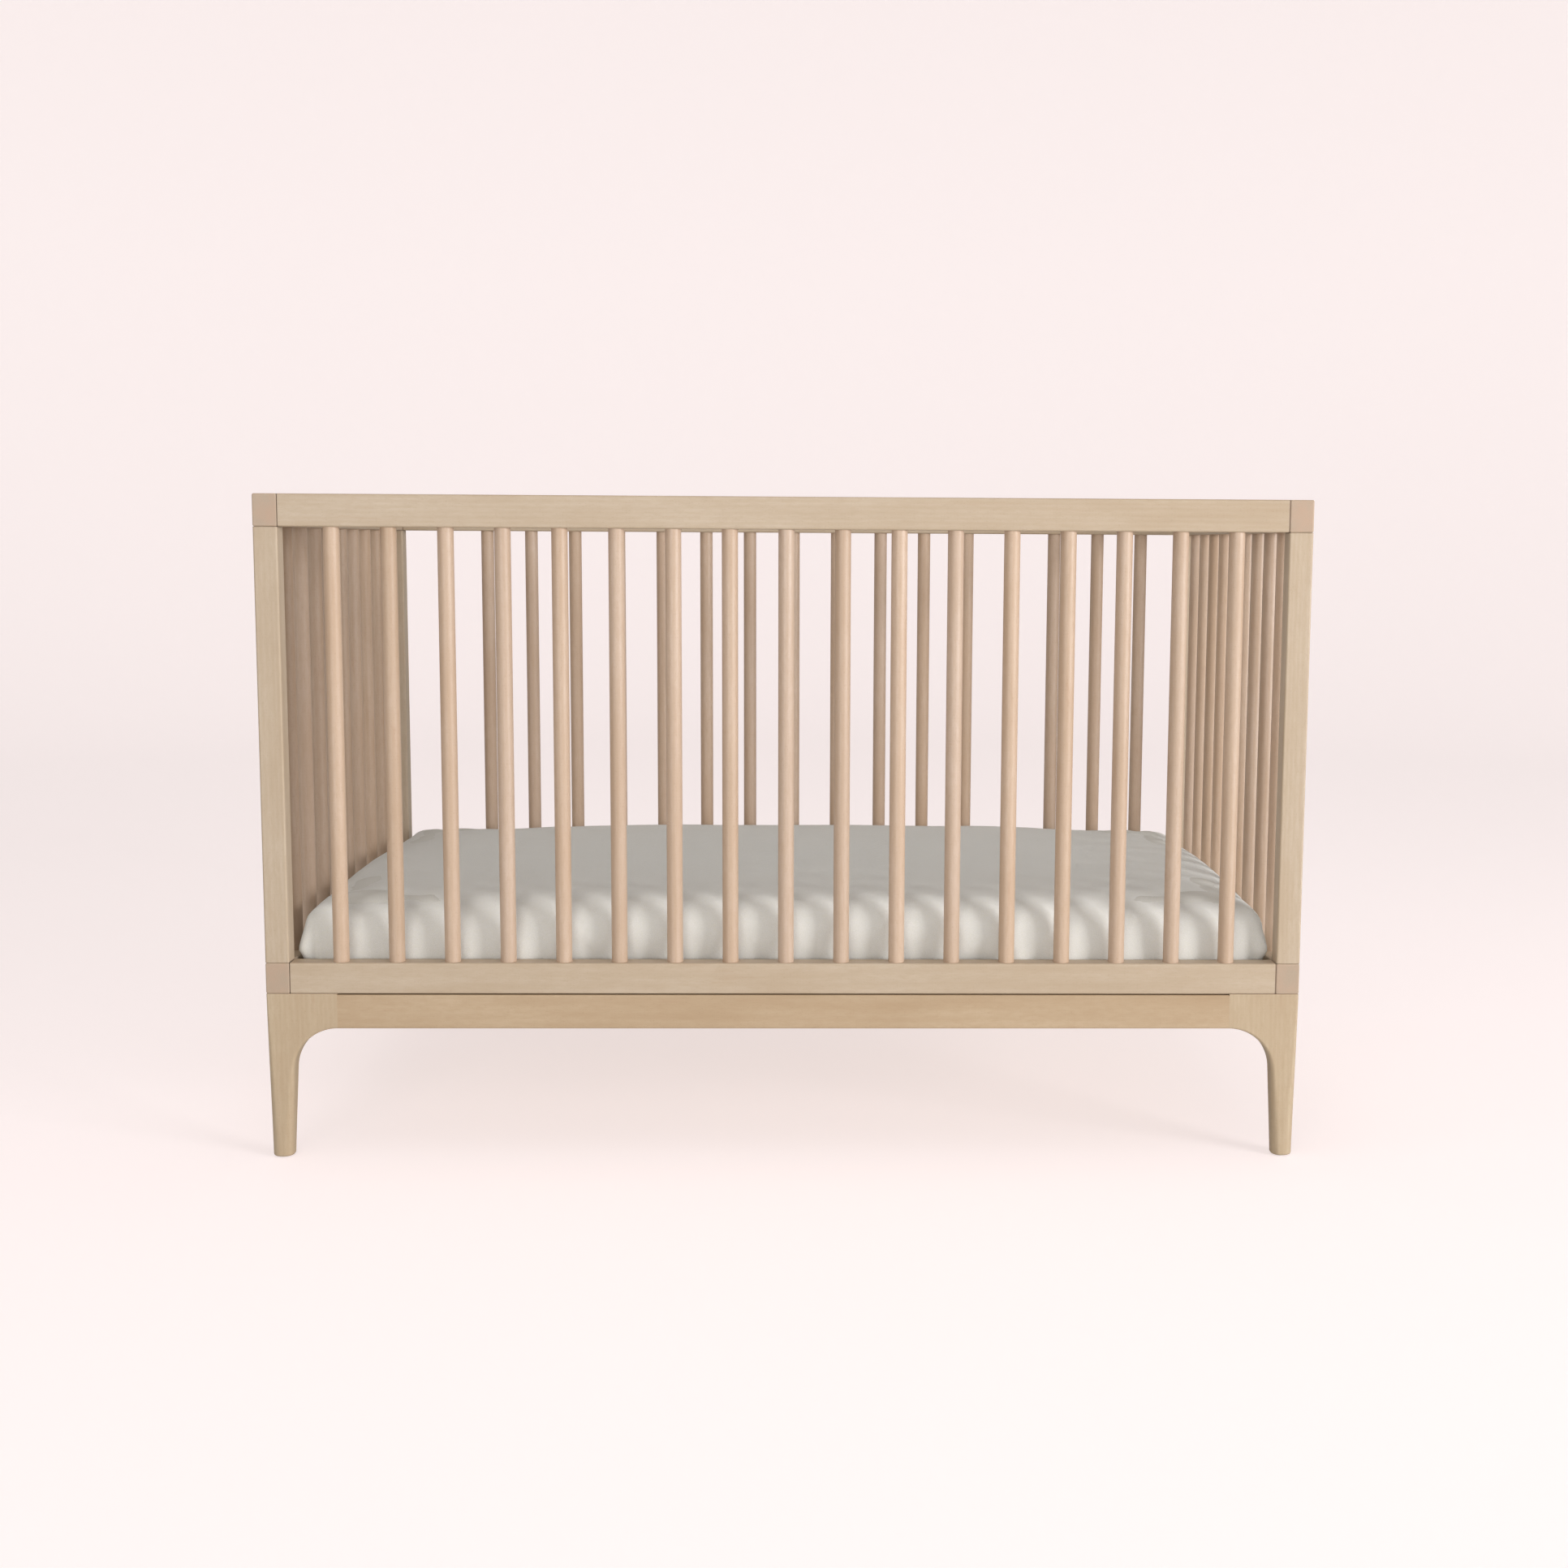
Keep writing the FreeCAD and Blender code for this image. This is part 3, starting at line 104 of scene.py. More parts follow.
def paper(name):
    """Glowing paper to the eye, and a duller grey one in the light that it throws back."""
    material, tree, output = finish_named(name)
    where = add(tree, "TexCoord").outputs["Object"]
    tooth = add(tree, "TexNoise", {"Vector": where, "Scale": 60.0, "Detail": 3.0})
    shade = add(tree, "Mix", {0: tooth.outputs["Fac"],
                              6: (*[(PAPER_SHADE - 0.01) * c for c in PAPER], 1),
                              7: (*[PAPER_SHADE * c for c in PAPER], 1)}, data_type="RGBA")
    seen = add(tree, "BsdfPrincipled", {
        "Base Color": shade.outputs[2], "Roughness": 0.9, "Specular IOR Level": 0.1,
        "Emission Color": (*PAPER, 1), "Emission Strength": PAPER_GLOW})
    bounced = add(tree, "BsdfPrincipled", {
        "Base Color": (*BOUNCE_GREY, 1), "Roughness": 0.9, "Specular IOR Level": 0.0,
        "Emission Color": (0.80, 0.80, 0.80, 1), "Emission Strength": BOUNCE_GLOW})
    straight = add(tree, "LightPath").outputs["Is Camera Ray"]
    both = add(tree, "MixShader", {0: straight, 1: bounced.outputs[0], 2: seen.outputs[0]})
    tree.links.new(both.outputs[0], output.inputs[0])
    return material


RIM_SEGMENTS, BEND_STEPS = 96, 10
sweep = bmesh.new()
bmesh.ops.create_circle(sweep, segments=RIM_SEGMENTS, radius=FLOOR_RADIUS, cap_ends=True)
rim = list(sweep.edges)
for step in range(1, BEND_STEPS + 1):
    turned, before = (math.pi / 2 * s / BEND_STEPS for s in (step, step - 1))
    grown = bmesh.ops.extrude_edge_only(sweep, edges=rim)["geom"]
    rim = [item for item in grown if isinstance(item, bmesh.types.BMEdge)]
    ring = [item for item in grown if isinstance(item, bmesh.types.BMVert)]
    wide = FLOOR_RADIUS + SWEEP_RADIUS * math.sin(turned)
    narrow = FLOOR_RADIUS + SWEEP_RADIUS * math.sin(before)
    bmesh.ops.scale(sweep, verts=ring, vec=(wide / narrow, wide / narrow, 1))
    bmesh.ops.translate(sweep, verts=ring, vec=(
        0, 0, SWEEP_RADIUS * (math.cos(before) - math.cos(turned))))
grown = bmesh.ops.extrude_edge_only(sweep, edges=rim)["geom"]
bmesh.ops.translate(sweep, verts=[v for v in grown if isinstance(v, bmesh.types.BMVert)],
                    vec=(0, 0, WALL_HIGH))
bmesh.ops.recalc_face_normals(sweep, faces=sweep.faces)
floor_mesh = bpy.data.meshes.new("paper_floor")
sweep.to_mesh(floor_mesh)
sweep.free()
for face in floor_mesh.polygons:
    face.use_smooth = True
paper_floor = bpy.data.objects.new("paper_floor", floor_mesh)
bpy.context.scene.collection.objects.link(paper_floor)
floor_mesh.materials.append(paper("pale_paper"))


# The light is a tall soft window far off to the right, low enough to rake along the front,
# and a weaker one in front on the left, with a broad dim panel overhead and a little warm
# white light from all round.
def window(name, place, target, size, power, colour):
    """One soft rectangular light that looks at a point."""
    lamp = bpy.data.lights.new(name, "AREA")
    lamp.shape, lamp.size, lamp.size_y = "RECTANGLE", *size
    lamp.energy, lamp.color = power, colour
    held = bpy.data.objects.new(name, lamp)
    bpy.context.scene.collection.objects.link(held)
    held.location = place
    held.rotation_euler = (Vector(target) - Vector(place)).to_track_quat("-Z", "Y").to_euler()
    return held


window("low_window", (4.9, -3.7, 1.35), (0.0, 0.0, 0.45), (2.2, 1.9), 255, (0.98, 0.985, 1.0))
window("front_window", (-1.2, -5.4, 1.2), (0.0, 0.0, 0.45), (2.6, 1.7), 74, (1.0, 0.98, 0.955))
window("high_panel", (-0.3, -0.6, 3.1), (0.0, 0.0, 0.4), (3.0, 3.0), 22, (1.0, 0.98, 0.97))
world = bpy.data.worlds.new("soft_room")
world.use_nodes = True
world.node_tree.nodes["Background"].inputs["Color"].default_value = (1.0, 0.985, 0.97, 1)
world.node_tree.nodes["Background"].inputs["Strength"].default_value = 0.25
bpy.context.scene.world = world
bpy.context.scene.view_settings.view_transform = "Standard"


# The two end panels are solid beech, planed, sanded and lacquered satin. Both rails run
# the full depth, so their end grain shows at the corners, and the posts stand between them.
LIGHT_BEECH, DARK_BEECH = (199, 182, 161), (182, 160, 134)
SPINDLE_BEECH = (205, 185, 168), (188, 162, 138)
END_SPINDLE_ROW = ("Y", 0.073575, 4.5)
# How dark the painted shade is in the joint lines of the posts and of the side rails.
POST_JOINT_SHADE, RAIL_JOINT_SHADE = 0.25, 0.8
FLECK_BROWN, END_GRAIN, JOINT_SHADE_BROWN = (138, 104, 76), (200, 178, 155), (88, 60, 48)
TURN_TO_GRAIN = {"X": (0, 0, 0), "Y": (0, 0, -math.pi / 2), "Z": (0, math.pi / 2, 0)}
ALONG = {"X": (1, 0, 0), "Y": (0, 1, 0), "Z": (0, 0, 1)}


def arithmetic(tree, operation, first, second=0.0, third=0.0):
    return add(tree, "Math", {0: first, 1: second, 2: third}, operation=operation).outputs[0]


def stretched(tree, where, along, across):
    """Coordinates for a pattern whose marks lie along the grain, which is local X."""
    return add(tree, "VectorMath", {0: where, 1: (along, across, across)},
               operation="MULTIPLY").outputs[0]


def blended(tree, share, first, second, way="MIX"):
    return add(tree, "Mix", {0: share, 6: first, 7: second}, data_type="RGBA",
               blend_type=way).outputs[2]


def between(tree, value, low, high, to_low=0.0, to_high=1.0):
    """A value stretched from low..high to to_low..to_high, and held inside."""
    return add(tree, "MapRange", {0: value, 1: low, 2: high, 3: to_low, 4: to_high}).outputs[0]


def beech(name, grain, start, light=LIGHT_BEECH, dark=DARK_BEECH, rows=None, joints=None,
          ring_wide=0.0062, ring_depth=0.10, gloss=0.46):
    """Lacquered beech with its grain along one axis. start moves the pattern, so that no two
    pieces match. rows is (axis, pitch, half the count) where one node holds a row of
    separate sticks, and joints is (axis, places, depth) where it butts another piece, with
    a thin dark line of painted shade along the gap of the joint."""
    material, tree, output = finish_named(name)
    coordinates = add(tree, "TexCoord")
    where = add(tree, "Mapping", {
        "Vector": coordinates.outputs["Object"], "Rotation": TURN_TO_GRAIN[grain],
        "Location": (start * 0.37, 0.031 + start * 0.013, 0.046 - start * 0.017)}).outputs[0]
    if rows:
        # Each stick is numbered along its row, and gets its own place in the pattern.
        axis, pitch, half = rows
        apart = add(tree, "SeparateXYZ", {0: coordinates.outputs["Object"]})
        number = arithmetic(tree, "FLOOR", arithmetic(
            tree, "ADD", arithmetic(tree, "DIVIDE", apart.outputs[axis], pitch), half))
        own = add(tree, "TexWhiteNoise", {"W": arithmetic(tree, "ADD", number, start)},
                  noise_dimensions="1D")
        where = add(tree, "VectorMath", {0: where, 1: own.outputs["Color"]},
                    operation="ADD").outputs[0]
    rings = add(tree, "TexWave", {
        "Vector": stretched(tree, where, 0.07, 1.0),
        "Scale": 2 * math.pi / (20 * ring_wide), "Distortion": 11.0, "Detail": 3.0,
        "Detail Scale": 0.30, "Detail Roughness": 0.6},
        wave_type="RINGS", rings_direction="X", wave_profile="SIN").outputs["Fac"]
    clouds = add(tree, "TexNoise", {"Vector": stretched(tree, where, 4.0, 22.0), "Scale": 1.0,
                                    "Detail": 5.0, "Roughness": 0.62}).outputs["Fac"]
    mottle = add(tree, "TexNoise", {"Vector": stretched(tree, where, 60.0, 190.0),
                                    "Scale": 1.0, "Detail": 3.0, "Roughness": 0.6,
                                    "Distortion": 0.4}).outputs["Fac"]
    fibres = add(tree, "TexNoise", {"Vector": stretched(tree, where, 34.0, 1050.0), "Scale": 1.0,
                                    "Detail": 3.0, "Roughness": 0.7}).outputs["Fac"]
    streaks = add(tree, "TexNoise", {"Vector": stretched(tree, where, 9.0, 210.0), "Scale": 1.0,
                                     "Detail": 3.0, "Roughness": 0.62}).outputs["Fac"]
    pores = add(tree, "TexVoronoi", {"Vector": stretched(tree, where, 230.0, 1300.0),
                                     "Scale": 1.0, "Randomness": 1.0})
    chosen = add(tree, "SeparateColor", {0: pores.outputs["Color"]}).outputs[0]
    fleck = arithmetic(tree, "MULTIPLY", between(tree, pores.outputs["Distance"], 0.34, 0.12),
                       between(tree, chosen, 0.60, 0.74))
    wisps = add(tree, "TexNoise", {"Vector": stretched(tree, where, 5.0, 60.0), "Scale": 1.0,
                                   "Detail": 5.0, "Roughness": 0.7, "Distortion": 0.6})
    wisp = between(tree, wisps.outputs["Fac"], 0.60, 0.78)
    depth = arithmetic(tree, "ADD", arithmetic(tree, "MULTIPLY", rings, ring_depth),
                       arithmetic(tree, "MULTIPLY", clouds, 1.15 - ring_depth))
    colour = blended(tree, between(tree, depth, 0.28, 0.86), linear(*light), linear(*dark))
    colour = blended(tree, between(tree, streaks, 0.42, 0.72, 0.0, 0.22), colour, linear(*dark))
    colour = blended(tree, between(tree, mottle, 0.40, 0.68, 0.0, 0.42), colour, linear(*dark))
    colour = blended(tree, between(tree, fibres, 0.38, 0.70, 0.0, 0.15), colour,
                     linear(*[0.90 * c for c in dark]))
    colour = blended(tree, arithmetic(tree, "MULTIPLY", wisp, 0.42), colour,
                     linear(176, 140, 112))
    colour = blended(tree, arithmetic(tree, "MULTIPLY", fleck, 0.24), colour,
                     linear(*FLECK_BROWN))
    if rows:
        tone = add(tree, "SeparateColor", {0: own.outputs["Color"]})
        warm = blended(tree, tone.outputs[1], (1.03, 1.01, 1.0, 1), (1.0, 0.955, 0.90, 1))
        colour = blended(tree, 1.0, colour, warm, "MULTIPLY")
        dim = between(tree, tone.outputs[2], 0.0, 1.0, 0.90, 1.05)
        grey = add(tree, "CombineColor", {0: dim, 1: dim, 2: dim}).outputs[0]
        colour = blended(tree, 1.0, colour, grey, "MULTIPLY")
    facing = add(tree, "VectorMath", {0: coordinates.outputs["Normal"], 1: ALONG[grain]},
                 operation="DOT_PRODUCT").outputs["Value"]
    cut = between(tree, arithmetic(tree, "ABSOLUTE", facing), 0.72, 0.94)
    pits = add(tree, "TexVoronoi", {"Vector": coordinates.outputs["Object"], "Scale": 1500.0})
    end = blended(tree, between(tree, pits.outputs["Distance"], 0.2, 0.7, 0.0, 0.22),
                  linear(*[0.86 * c for c in END_GRAIN]), linear(*END_GRAIN))
    end = blended(tree, arithmetic(tree, "MULTIPLY", rings, 0.35), end,
                  linear(*[0.88 * c for c in END_GRAIN]))
    end = blended(tree, between(tree, clouds, 0.35, 0.65, 0.0, 0.55), end,
                  linear(*[c * d for c, d in zip(END_GRAIN, (0.95, 0.88, 0.86))]))
    colour = blended(tree, cut, colour, end)
    # Painted shade: a thin dark line where the piece butts another, standing in for the shadow
    # in the narrow joint gap.
    if joints:
        axis, places, joint_shade_depth = joints
        along_joint = add(tree, "SeparateXYZ", {0: coordinates.outputs["Object"]}).outputs[axis]
        for spot in places:
            away = arithmetic(tree, "ABSOLUTE", arithmetic(tree, "SUBTRACT", along_joint, spot))
            colour = blended(tree, between(tree, away, 0.0014, 0.0007, 0.0, joint_shade_depth), colour,
                             linear(*JOINT_SHADE_BROWN))
    rough = between(tree, clouds, 0.2, 0.8, gloss - 0.05, gloss + 0.08)
    relief = arithmetic(tree, "SUBTRACT", arithmetic(tree, "MULTIPLY", fibres, 0.5),
                        arithmetic(tree, "MULTIPLY", fleck, 0.9))
    bump = add(tree, "Bump", {"Height": relief, "Strength": 0.28, "Distance": 0.0003})
    skin = add(tree, "BsdfPrincipled", {
        "Base Color": colour, "Roughness": rough, "Normal": bump.outputs[0],
        "Specular IOR Level": 0.4, "Coat Weight": 0.10, "Coat Roughness": 0.38})
    tree.links.new(skin.outputs[0], output.inputs[0])
    return material


def dress(piece, material):
    """Gives a frame part its finish in place of the plain one it came with."""
    slots = parts[piece].data.materials
    slots.clear()
    slots.append(material)


for count, end in enumerate(("left", "right")):
    dress(f"{end}_top_rail", beech(f"{end}_top_rail_beech", "Y", 1.0 + count))
    dress(f"{end}_bottom_rail", beech(f"{end}_bottom_rail_beech", "Y", 3.0 + count))
    low_joint, high_joint = (corner.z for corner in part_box(f"{end}_front_post"))
    for row, start in (("front", 5.0), ("back", 7.0)):
        dress(f"{end}_{row}_post", beech(f"{end}_{row}_post_beech", "Z", start + count,
                                         joints=("Z", (low_joint, high_joint), POST_JOINT_SHADE)))
    dress(f"{end}_spindles", beech(f"{end}_spindle_beech", "Z", 9.0 + count, *SPINDLE_BEECH,
                                   rows=END_SPINDLE_ROW))


# The front and back panels hang between the end panels: a top rail, a bottom rail and
# seventeen round spindles glued into bored holes.
SIDE_SPINDLE_ROW = ("X", 0.0748, 8.5)
for count, side in enumerate(("front", "back")):
    for level, start in (("top", 11.0), ("bottom", 13.0)):
        shoulders = [corner.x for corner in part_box(f"{side}_{level}_rail")]
        dress(f"{side}_{level}_rail", beech(f"{side}_{level}_rail_beech", "X", start + count,
                                            joints=("X", shoulders, RAIL_JOINT_SHADE)))
    dress(f"{side}_spindles", beech(f"{side}_spindle_beech", "Z", 15.0 + count,
                                    *SPINDLE_BEECH, rows=SIDE_SPINDLE_ROW))


# The base is four aprons and four legs. Each leg is a wide board with upright grain, sawn
# to a curved bracket, and the aprons butt against it with a glue joint.
APRON_BEECH, LEG_BEECH = ((196, 173, 144), (178, 151, 120)), ((197, 178, 151), (181, 157, 128))
for count, edge in enumerate(("front", "back", "left", "right")):
    run = "X" if edge in ("front", "back") else "Y"
    dress(f"{edge}_apron", beech(f"{edge}_apron_beech", run, 17.0 + count, *APRON_BEECH))
for count, leg in enumerate(("front_left", "front_right", "back_left", "back_right")):
    dress(f"{leg}_leg", beech(f"{leg}_leg_beech", "Z", 21.0 + count, *LEG_BEECH))


# Each leg stands on a white glide of hard polyethylene, which is nailed into its underside
# and slightly dulled by the floor.
def moulded(name, colour, rough, dimple, depth):
    """Hard plastic or paint: one colour with a faint cloud, and a fine dimpled skin."""
    material, tree, output = finish_named(name)
    where = add(tree, "TexCoord").outputs["Object"]
    cloud = add(tree, "TexNoise", {"Vector": where, "Scale": 55.0, "Detail": 4.0})
    dimples = add(tree, "TexNoise", {"Vector": where, "Scale": dimple, "Detail": 2.0})
    shade = blended(tree, between(tree, cloud.outputs["Fac"], 0.35, 0.7),
                    linear(*colour), linear(*[0.93 * c for c in colour]))
    bump = add(tree, "Bump", {"Height": dimples.outputs["Fac"], "Strength": depth,
                              "Distance": 0.0004})
    skin = add(tree, "BsdfPrincipled", {
        "Base Color": shade, "Normal": bump.outputs[0], "Specular IOR Level": 0.45,
        "Roughness": between(tree, cloud.outputs["Fac"], 0.3, 0.7, rough - 0.06, rough + 0.08)})
    tree.links.new(skin.outputs[0], output.inputs[0])
    return material


dress("leg_glides", moulded("white_glide", (226, 223, 215), 0.42, 900.0, 0.25))


# Beech dowels, cut raw and glued, hold posts, rails, aprons and legs together. They are a
# little yellower than the lacquered wood and have no shine.
RAW_BEECH = (218, 196, 165), (198, 168, 132)


def raw_dowel(name, grain):
    return beech(name, grain, 31.0, *RAW_BEECH, gloss=0.68)


for piece, grain in (("post_dowels", "Z"), ("rail_dowels", "X"), ("base_dowels", "X")):
    dress(piece, raw_dowel(f"{piece}_beech", grain))


# Zinc-plated connector bolts with barrel nuts hold the side panels to the end panels, and
# longer bolts go up through the base into brass-coloured inserts in the bottom rails.
def plated(name, colour, rough):
    """Bright plated metal with fine drawn lines and a faint bloom in the plating."""
    material, tree, output = finish_named(name)
    where = add(tree, "TexCoord").outputs["Object"]
    bloom = add(tree, "TexNoise", {"Vector": where, "Scale": 260.0, "Detail": 4.0,
                                   "Roughness": 0.6}).outputs["Fac"]
    drawn = add(tree, "TexNoise", {"Vector": stretched(tree, where, 2600.0, 120.0),
                                   "Scale": 1.0, "Detail": 2.0}).outputs["Fac"]
    shade = blended(tree, between(tree, bloom, 0.35, 0.7), linear(*colour),
                    linear(*[0.84 * c for c in colour]))
    bump = add(tree, "Bump", {"Height": drawn, "Strength": 0.2, "Distance": 0.0001})
    skin = add(tree, "BsdfPrincipled", {
        "Base Color": shade, "Metallic": 1.0, "Normal": bump.outputs[0],
        "Roughness": between(tree, bloom, 0.3, 0.7, rough - 0.05, rough + 0.1)})
    tree.links.new(skin.outputs[0], output.inputs[0])
    return material


zinc = plated("zinc_plate", (196, 198, 200), 0.30)
yellow_zinc = plated("yellow_zinc", (205, 182, 118), 0.32)
for piece in ("connector_bolts", "barrel_nuts", "base_bolts"):
    dress(piece, zinc)
dress("base_inserts", yellow_zinc)


# Four brackets of bent steel strip, powder coated white, carry the deck. Each is screwed
# to an end bottom rail with two machine screws into inserts, and can be turned over.
powder_coat = moulded("white_powder_coat", (232, 230, 225), 0.5, 1400.0, 0.5)
for row in ("front", "back"):
    for column in ("left", "right"):
        dress(f"{row}_{column}_bracket", powder_coat)
dress("bracket_screws", zinc)
dress("bracket_inserts", yellow_zinc)


# The deck is a frame of planed pine bearers, dowelled at the corners, with thirteen pine
# slats screwed on top. It is left unlacquered, so the grain is yellow and plain to see.
PLANED_PINE, SLAT_ROW = ((226, 200, 154), (204, 165, 110)), ("X", 0.103667, 6.5)


def pine(name, grain, start, rows=None):
    return beech(name, grain, start, *PLANED_PINE, rows=rows,
                 ring_wide=0.0055, ring_depth=0.85, gloss=0.66)


for count, edge in enumerate(("front", "back", "left", "right", "centre")):
    run = "X" if edge in ("front", "back", "centre") else "Y"
    dress(f"deck_{edge}_bearer", pine(f"{edge}_bearer_pine", run, 41.0 + count))
dress("deck_slats", pine("slat_pine", "Y", 47.0, rows=SLAT_ROW))
dress("deck_dowels", raw_dowel("deck_dowels_beech", "Y"))
dress("slat_screws", yellow_zinc)


# The mattress is a foam core in a quilted white ticking, square and firm. It is flat where
# it lies on the slats and slightly crowned everywhere else, with a quilted diamond pattern.
QUILT_STEP, QUILT_LINE, TICKING = 0.115, 0.07, (228, 226, 219)
SETTLE_FRAMES, CORE_GRID, CORE_SWELL, SLAT_LEVEL = 10, 0.013, 0.0034, 0.2231
CORE = {"half": (0.6495, 0.3405), "low": 0.2262, "high": 0.3445, "corner": 0.022,
        "top_round": 0.034, "low_round": 0.014}


def cushion_block(half, low, high, corner, top_round, low_round):
    """A closed block with rounded upright corners and rounded top and bottom rims."""
    form = bmesh.new()
    bmesh.ops.create_cube(form, size=1.0)
    bmesh.ops.scale(form, verts=form.verts, vec=(2 * half[0], 2 * half[1], high - low))
    bmesh.ops.translate(form, verts=form.verts, vec=(0, 0, (high + low) / 2))
    upright = [edge for edge in form.edges
               if abs(edge.verts[0].co.z - edge.verts[1].co.z) > 0.01]
    bmesh.ops.bevel(form, geom=upright, offset=corner, segments=8, profile=0.5,
                    affect="EDGES", material=-1)
    for level, radius in ((high, top_round), (low, low_round)):
        rim = [edge for edge in form.edges
               if all(abs(vert.co.z - level) < 1e-5 for vert in edge.verts)]
        bmesh.ops.bevel(form, geom=rim, offset=radius, segments=6, profile=0.5,
                        affect="EDGES", material=-1)
    return form


def stood(name, form):
    """Puts a finished bmesh into the scene as a smooth piece."""
    mesh = bpy.data.meshes.new(name)
    form.to_mesh(mesh)
    form.free()
    made = bpy.data.objects.new(name, mesh)
    bpy.context.scene.collection.objects.link(made)
    for face in mesh.polygons:
        face.use_smooth = True
    return made


def settled(made):
    """Applies every modifier of a piece, at the present frame."""
    seen = bpy.context.evaluated_depsgraph_get()
    mesh = bpy.data.meshes.new_from_object(made.evaluated_get(seen))
    made.modifiers.clear()
    made.vertex_groups.clear()
    made.data = mesh
    for face in mesh.polygons:
        face.use_smooth = True


def gridded(made, cell):
    """Rebuilds a block's skin as an even grid, ready to behave as cloth."""
    grid = made.modifiers.new("grid", "REMESH")
    grid.mode, grid.voxel_size = "VOXEL", cell
    settled(made)


def filled(made, is_held, spare, push, most):
    """Lets a block's skin settle as cloth that is a little too large for it, blown out by
    the filling, and keeps every point within most of where it began."""
    began = [vert.co.copy() for vert in made.data.vertices]
    held = made.vertex_groups.new(name="held")
    held.add([vert.index for vert in made.data.vertices if is_held(vert.co)], 1.0, "REPLACE")
    skin = made.modifiers.new("skin", "CLOTH").settings
    skin.quality, skin.mass, skin.air_damping = 5, 0.2, 2.0
    skin.tension_stiffness, skin.compression_stiffness = 12.0, 6.0
    skin.shear_stiffness, skin.bending_stiffness = 4.0, 0.03
    skin.use_pressure, skin.uniform_pressure_force = True, push
    skin.shrink_min, skin.vertex_group_mass = -spare, "held"
    skin.effector_weights.gravity = 0.0
    for moment in range(1, SETTLE_FRAMES + 1):
        bpy.context.scene.frame_set(moment)
    settled(made)
    bpy.context.scene.frame_set(1)
    for vert, start in zip(made.data.vertices, began):
        moved = vert.co - start
        if moved.length > most:
            vert.co = start + moved * (most / moved.length)


def on_quilting(place):
    """True on the sewn diamond lines of the ticking's top and bottom."""
    if CORE["low"] + 0.004 < place.z < CORE["high"] - 0.004:
        return False
    lines = [(place.x + way * place.y) / QUILT_STEP for way in (1, -1)]
    return any(abs(line - round(line)) < QUILT_LINE for line in lines)


def cloth_finish(name, colour, thread, rough, depth, sheen):
    """Plain cotton: crossed threads, uneven yarn and a soft bloom of fibres."""
    material, tree, output = finish_named(name)
    where = add(tree, "TexCoord").outputs["Object"]
    apart = add(tree, "SeparateXYZ", {0: where})
    run = arithmetic(tree, "MULTIPLY_ADD", apart.outputs["Y"], 0.35, apart.outputs["X"])
    rise = arithmetic(tree, "ADD", apart.outputs["Z"], apart.outputs["Y"])
    warp, weft = (arithmetic(tree, "SINE", arithmetic(tree, "MULTIPLY", side,
                                                      2 * math.pi / thread))
                  for side in (run, rise))
    weave = arithmetic(tree, "MULTIPLY", warp, weft)
    yarn = add(tree, "TexNoise", {"Vector": where, "Scale": 1300.0, "Detail": 3.0,
                                  "Roughness": 0.7}).outputs["Fac"]
    slub = add(tree, "TexNoise", {"Vector": where, "Scale": 240.0, "Detail": 4.0,
                                  "Roughness": 0.75}).outputs["Fac"]
    cloud = add(tree, "TexNoise", {"Vector": where, "Scale": 9.0, "Detail": 3.0}).outputs["Fac"]
    shade = blended(tree, between(tree, yarn, 0.32, 0.72), linear(*colour),
                    linear(*[0.90 * c for c in colour]))
    shade = blended(tree, between(tree, slub, 0.45, 0.75, 0.0, 0.5), shade,
                    linear(*[0.94 * c for c in colour[:2]], 0.90 * colour[2]))
    shade = blended(tree, between(tree, cloud, 0.35, 0.7, 0.0, 0.35), shade,
                    linear(*[0.965 * c for c in colour]))
    height = arithmetic(tree, "MULTIPLY_ADD", yarn, 0.6, weave)
    bump = add(tree, "Bump", {"Height": height, "Strength": depth, "Distance": 0.0003})
    skin = add(tree, "BsdfPrincipled", {
        "Base Color": shade, "Roughness": rough, "Normal": bump.outputs[0],
        "Specular IOR Level": 0.25, "Sheen Weight": sheen, "Sheen Roughness": 0.5})
    tree.links.new(skin.outputs[0], output.inputs[0])
    return material


mattress_core = stood("mattress_core", cushion_block(**CORE))
gridded(mattress_core, CORE_GRID)
filled(mattress_core, on_quilting, spare=0.02, push=3.0, most=CORE_SWELL)
for vert in mattress_core.data.vertices:
    vert.co.z = max(vert.co.z, SLAT_LEVEL)
rounder = mattress_core.modifiers.new("rounder", "SUBSURF")
rounder.levels = rounder.render_levels = 1
mattress_core.data.materials.append(cloth_finish("quilted_ticking", TICKING, 0.0013, 0.85,
                                                 0.35, 0.1))
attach(mattress_core, "bedding")
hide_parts("mattress")


# The fitted sheet is off-white cotton, cut 1097 by 1716 mm with its corners taken out and
# sewn, stretched over the mattress and held under it by an elastic hem. It has fine drag
# lines along its lower edge and a small pointed ear at each corner.
COTTON = (246, 245, 240)
SHEET_GRID, SHEET_SWELL, REST_LEVEL = 0.010, 0.0058, 0.2222
TURN_IN, HEM_WIDE, HEM_THICK = 0.070, 0.013, 0.0011
EAR_LEVEL, EAR_OUT, CREASE_IN, DRAG_OUT, CROWN_RISE = 0.468, 0.0125, 0.0024, 0.0022, 0.0035
SCREWS_TOP, CLEAR_OF_SCREWS, CLEAR_OF_PANELS = 0.262, 0.6593, (0.6640, 0.3545)
SHEET = {"half": (0.6578, 0.3488), "low": 0.2224, "high": 0.3475, "corner": 0.022,
         "top_round": 0.038, "low_round": 0.018}


def outward(place):
    """The level direction straight out of the mattress's side at a point."""
    straight = Vector((SHEET["half"][0] - SHEET["corner"], SHEET["half"][1] - SHEET["corner"]))
    past = Vector([math.copysign(max(abs(c) - s, 0.0), c)
                   for c, s in zip(place.xy, straight)])
    return (past / past.length).to_3d() if past.length > 1e-6 else Vector((0, 0, 0))


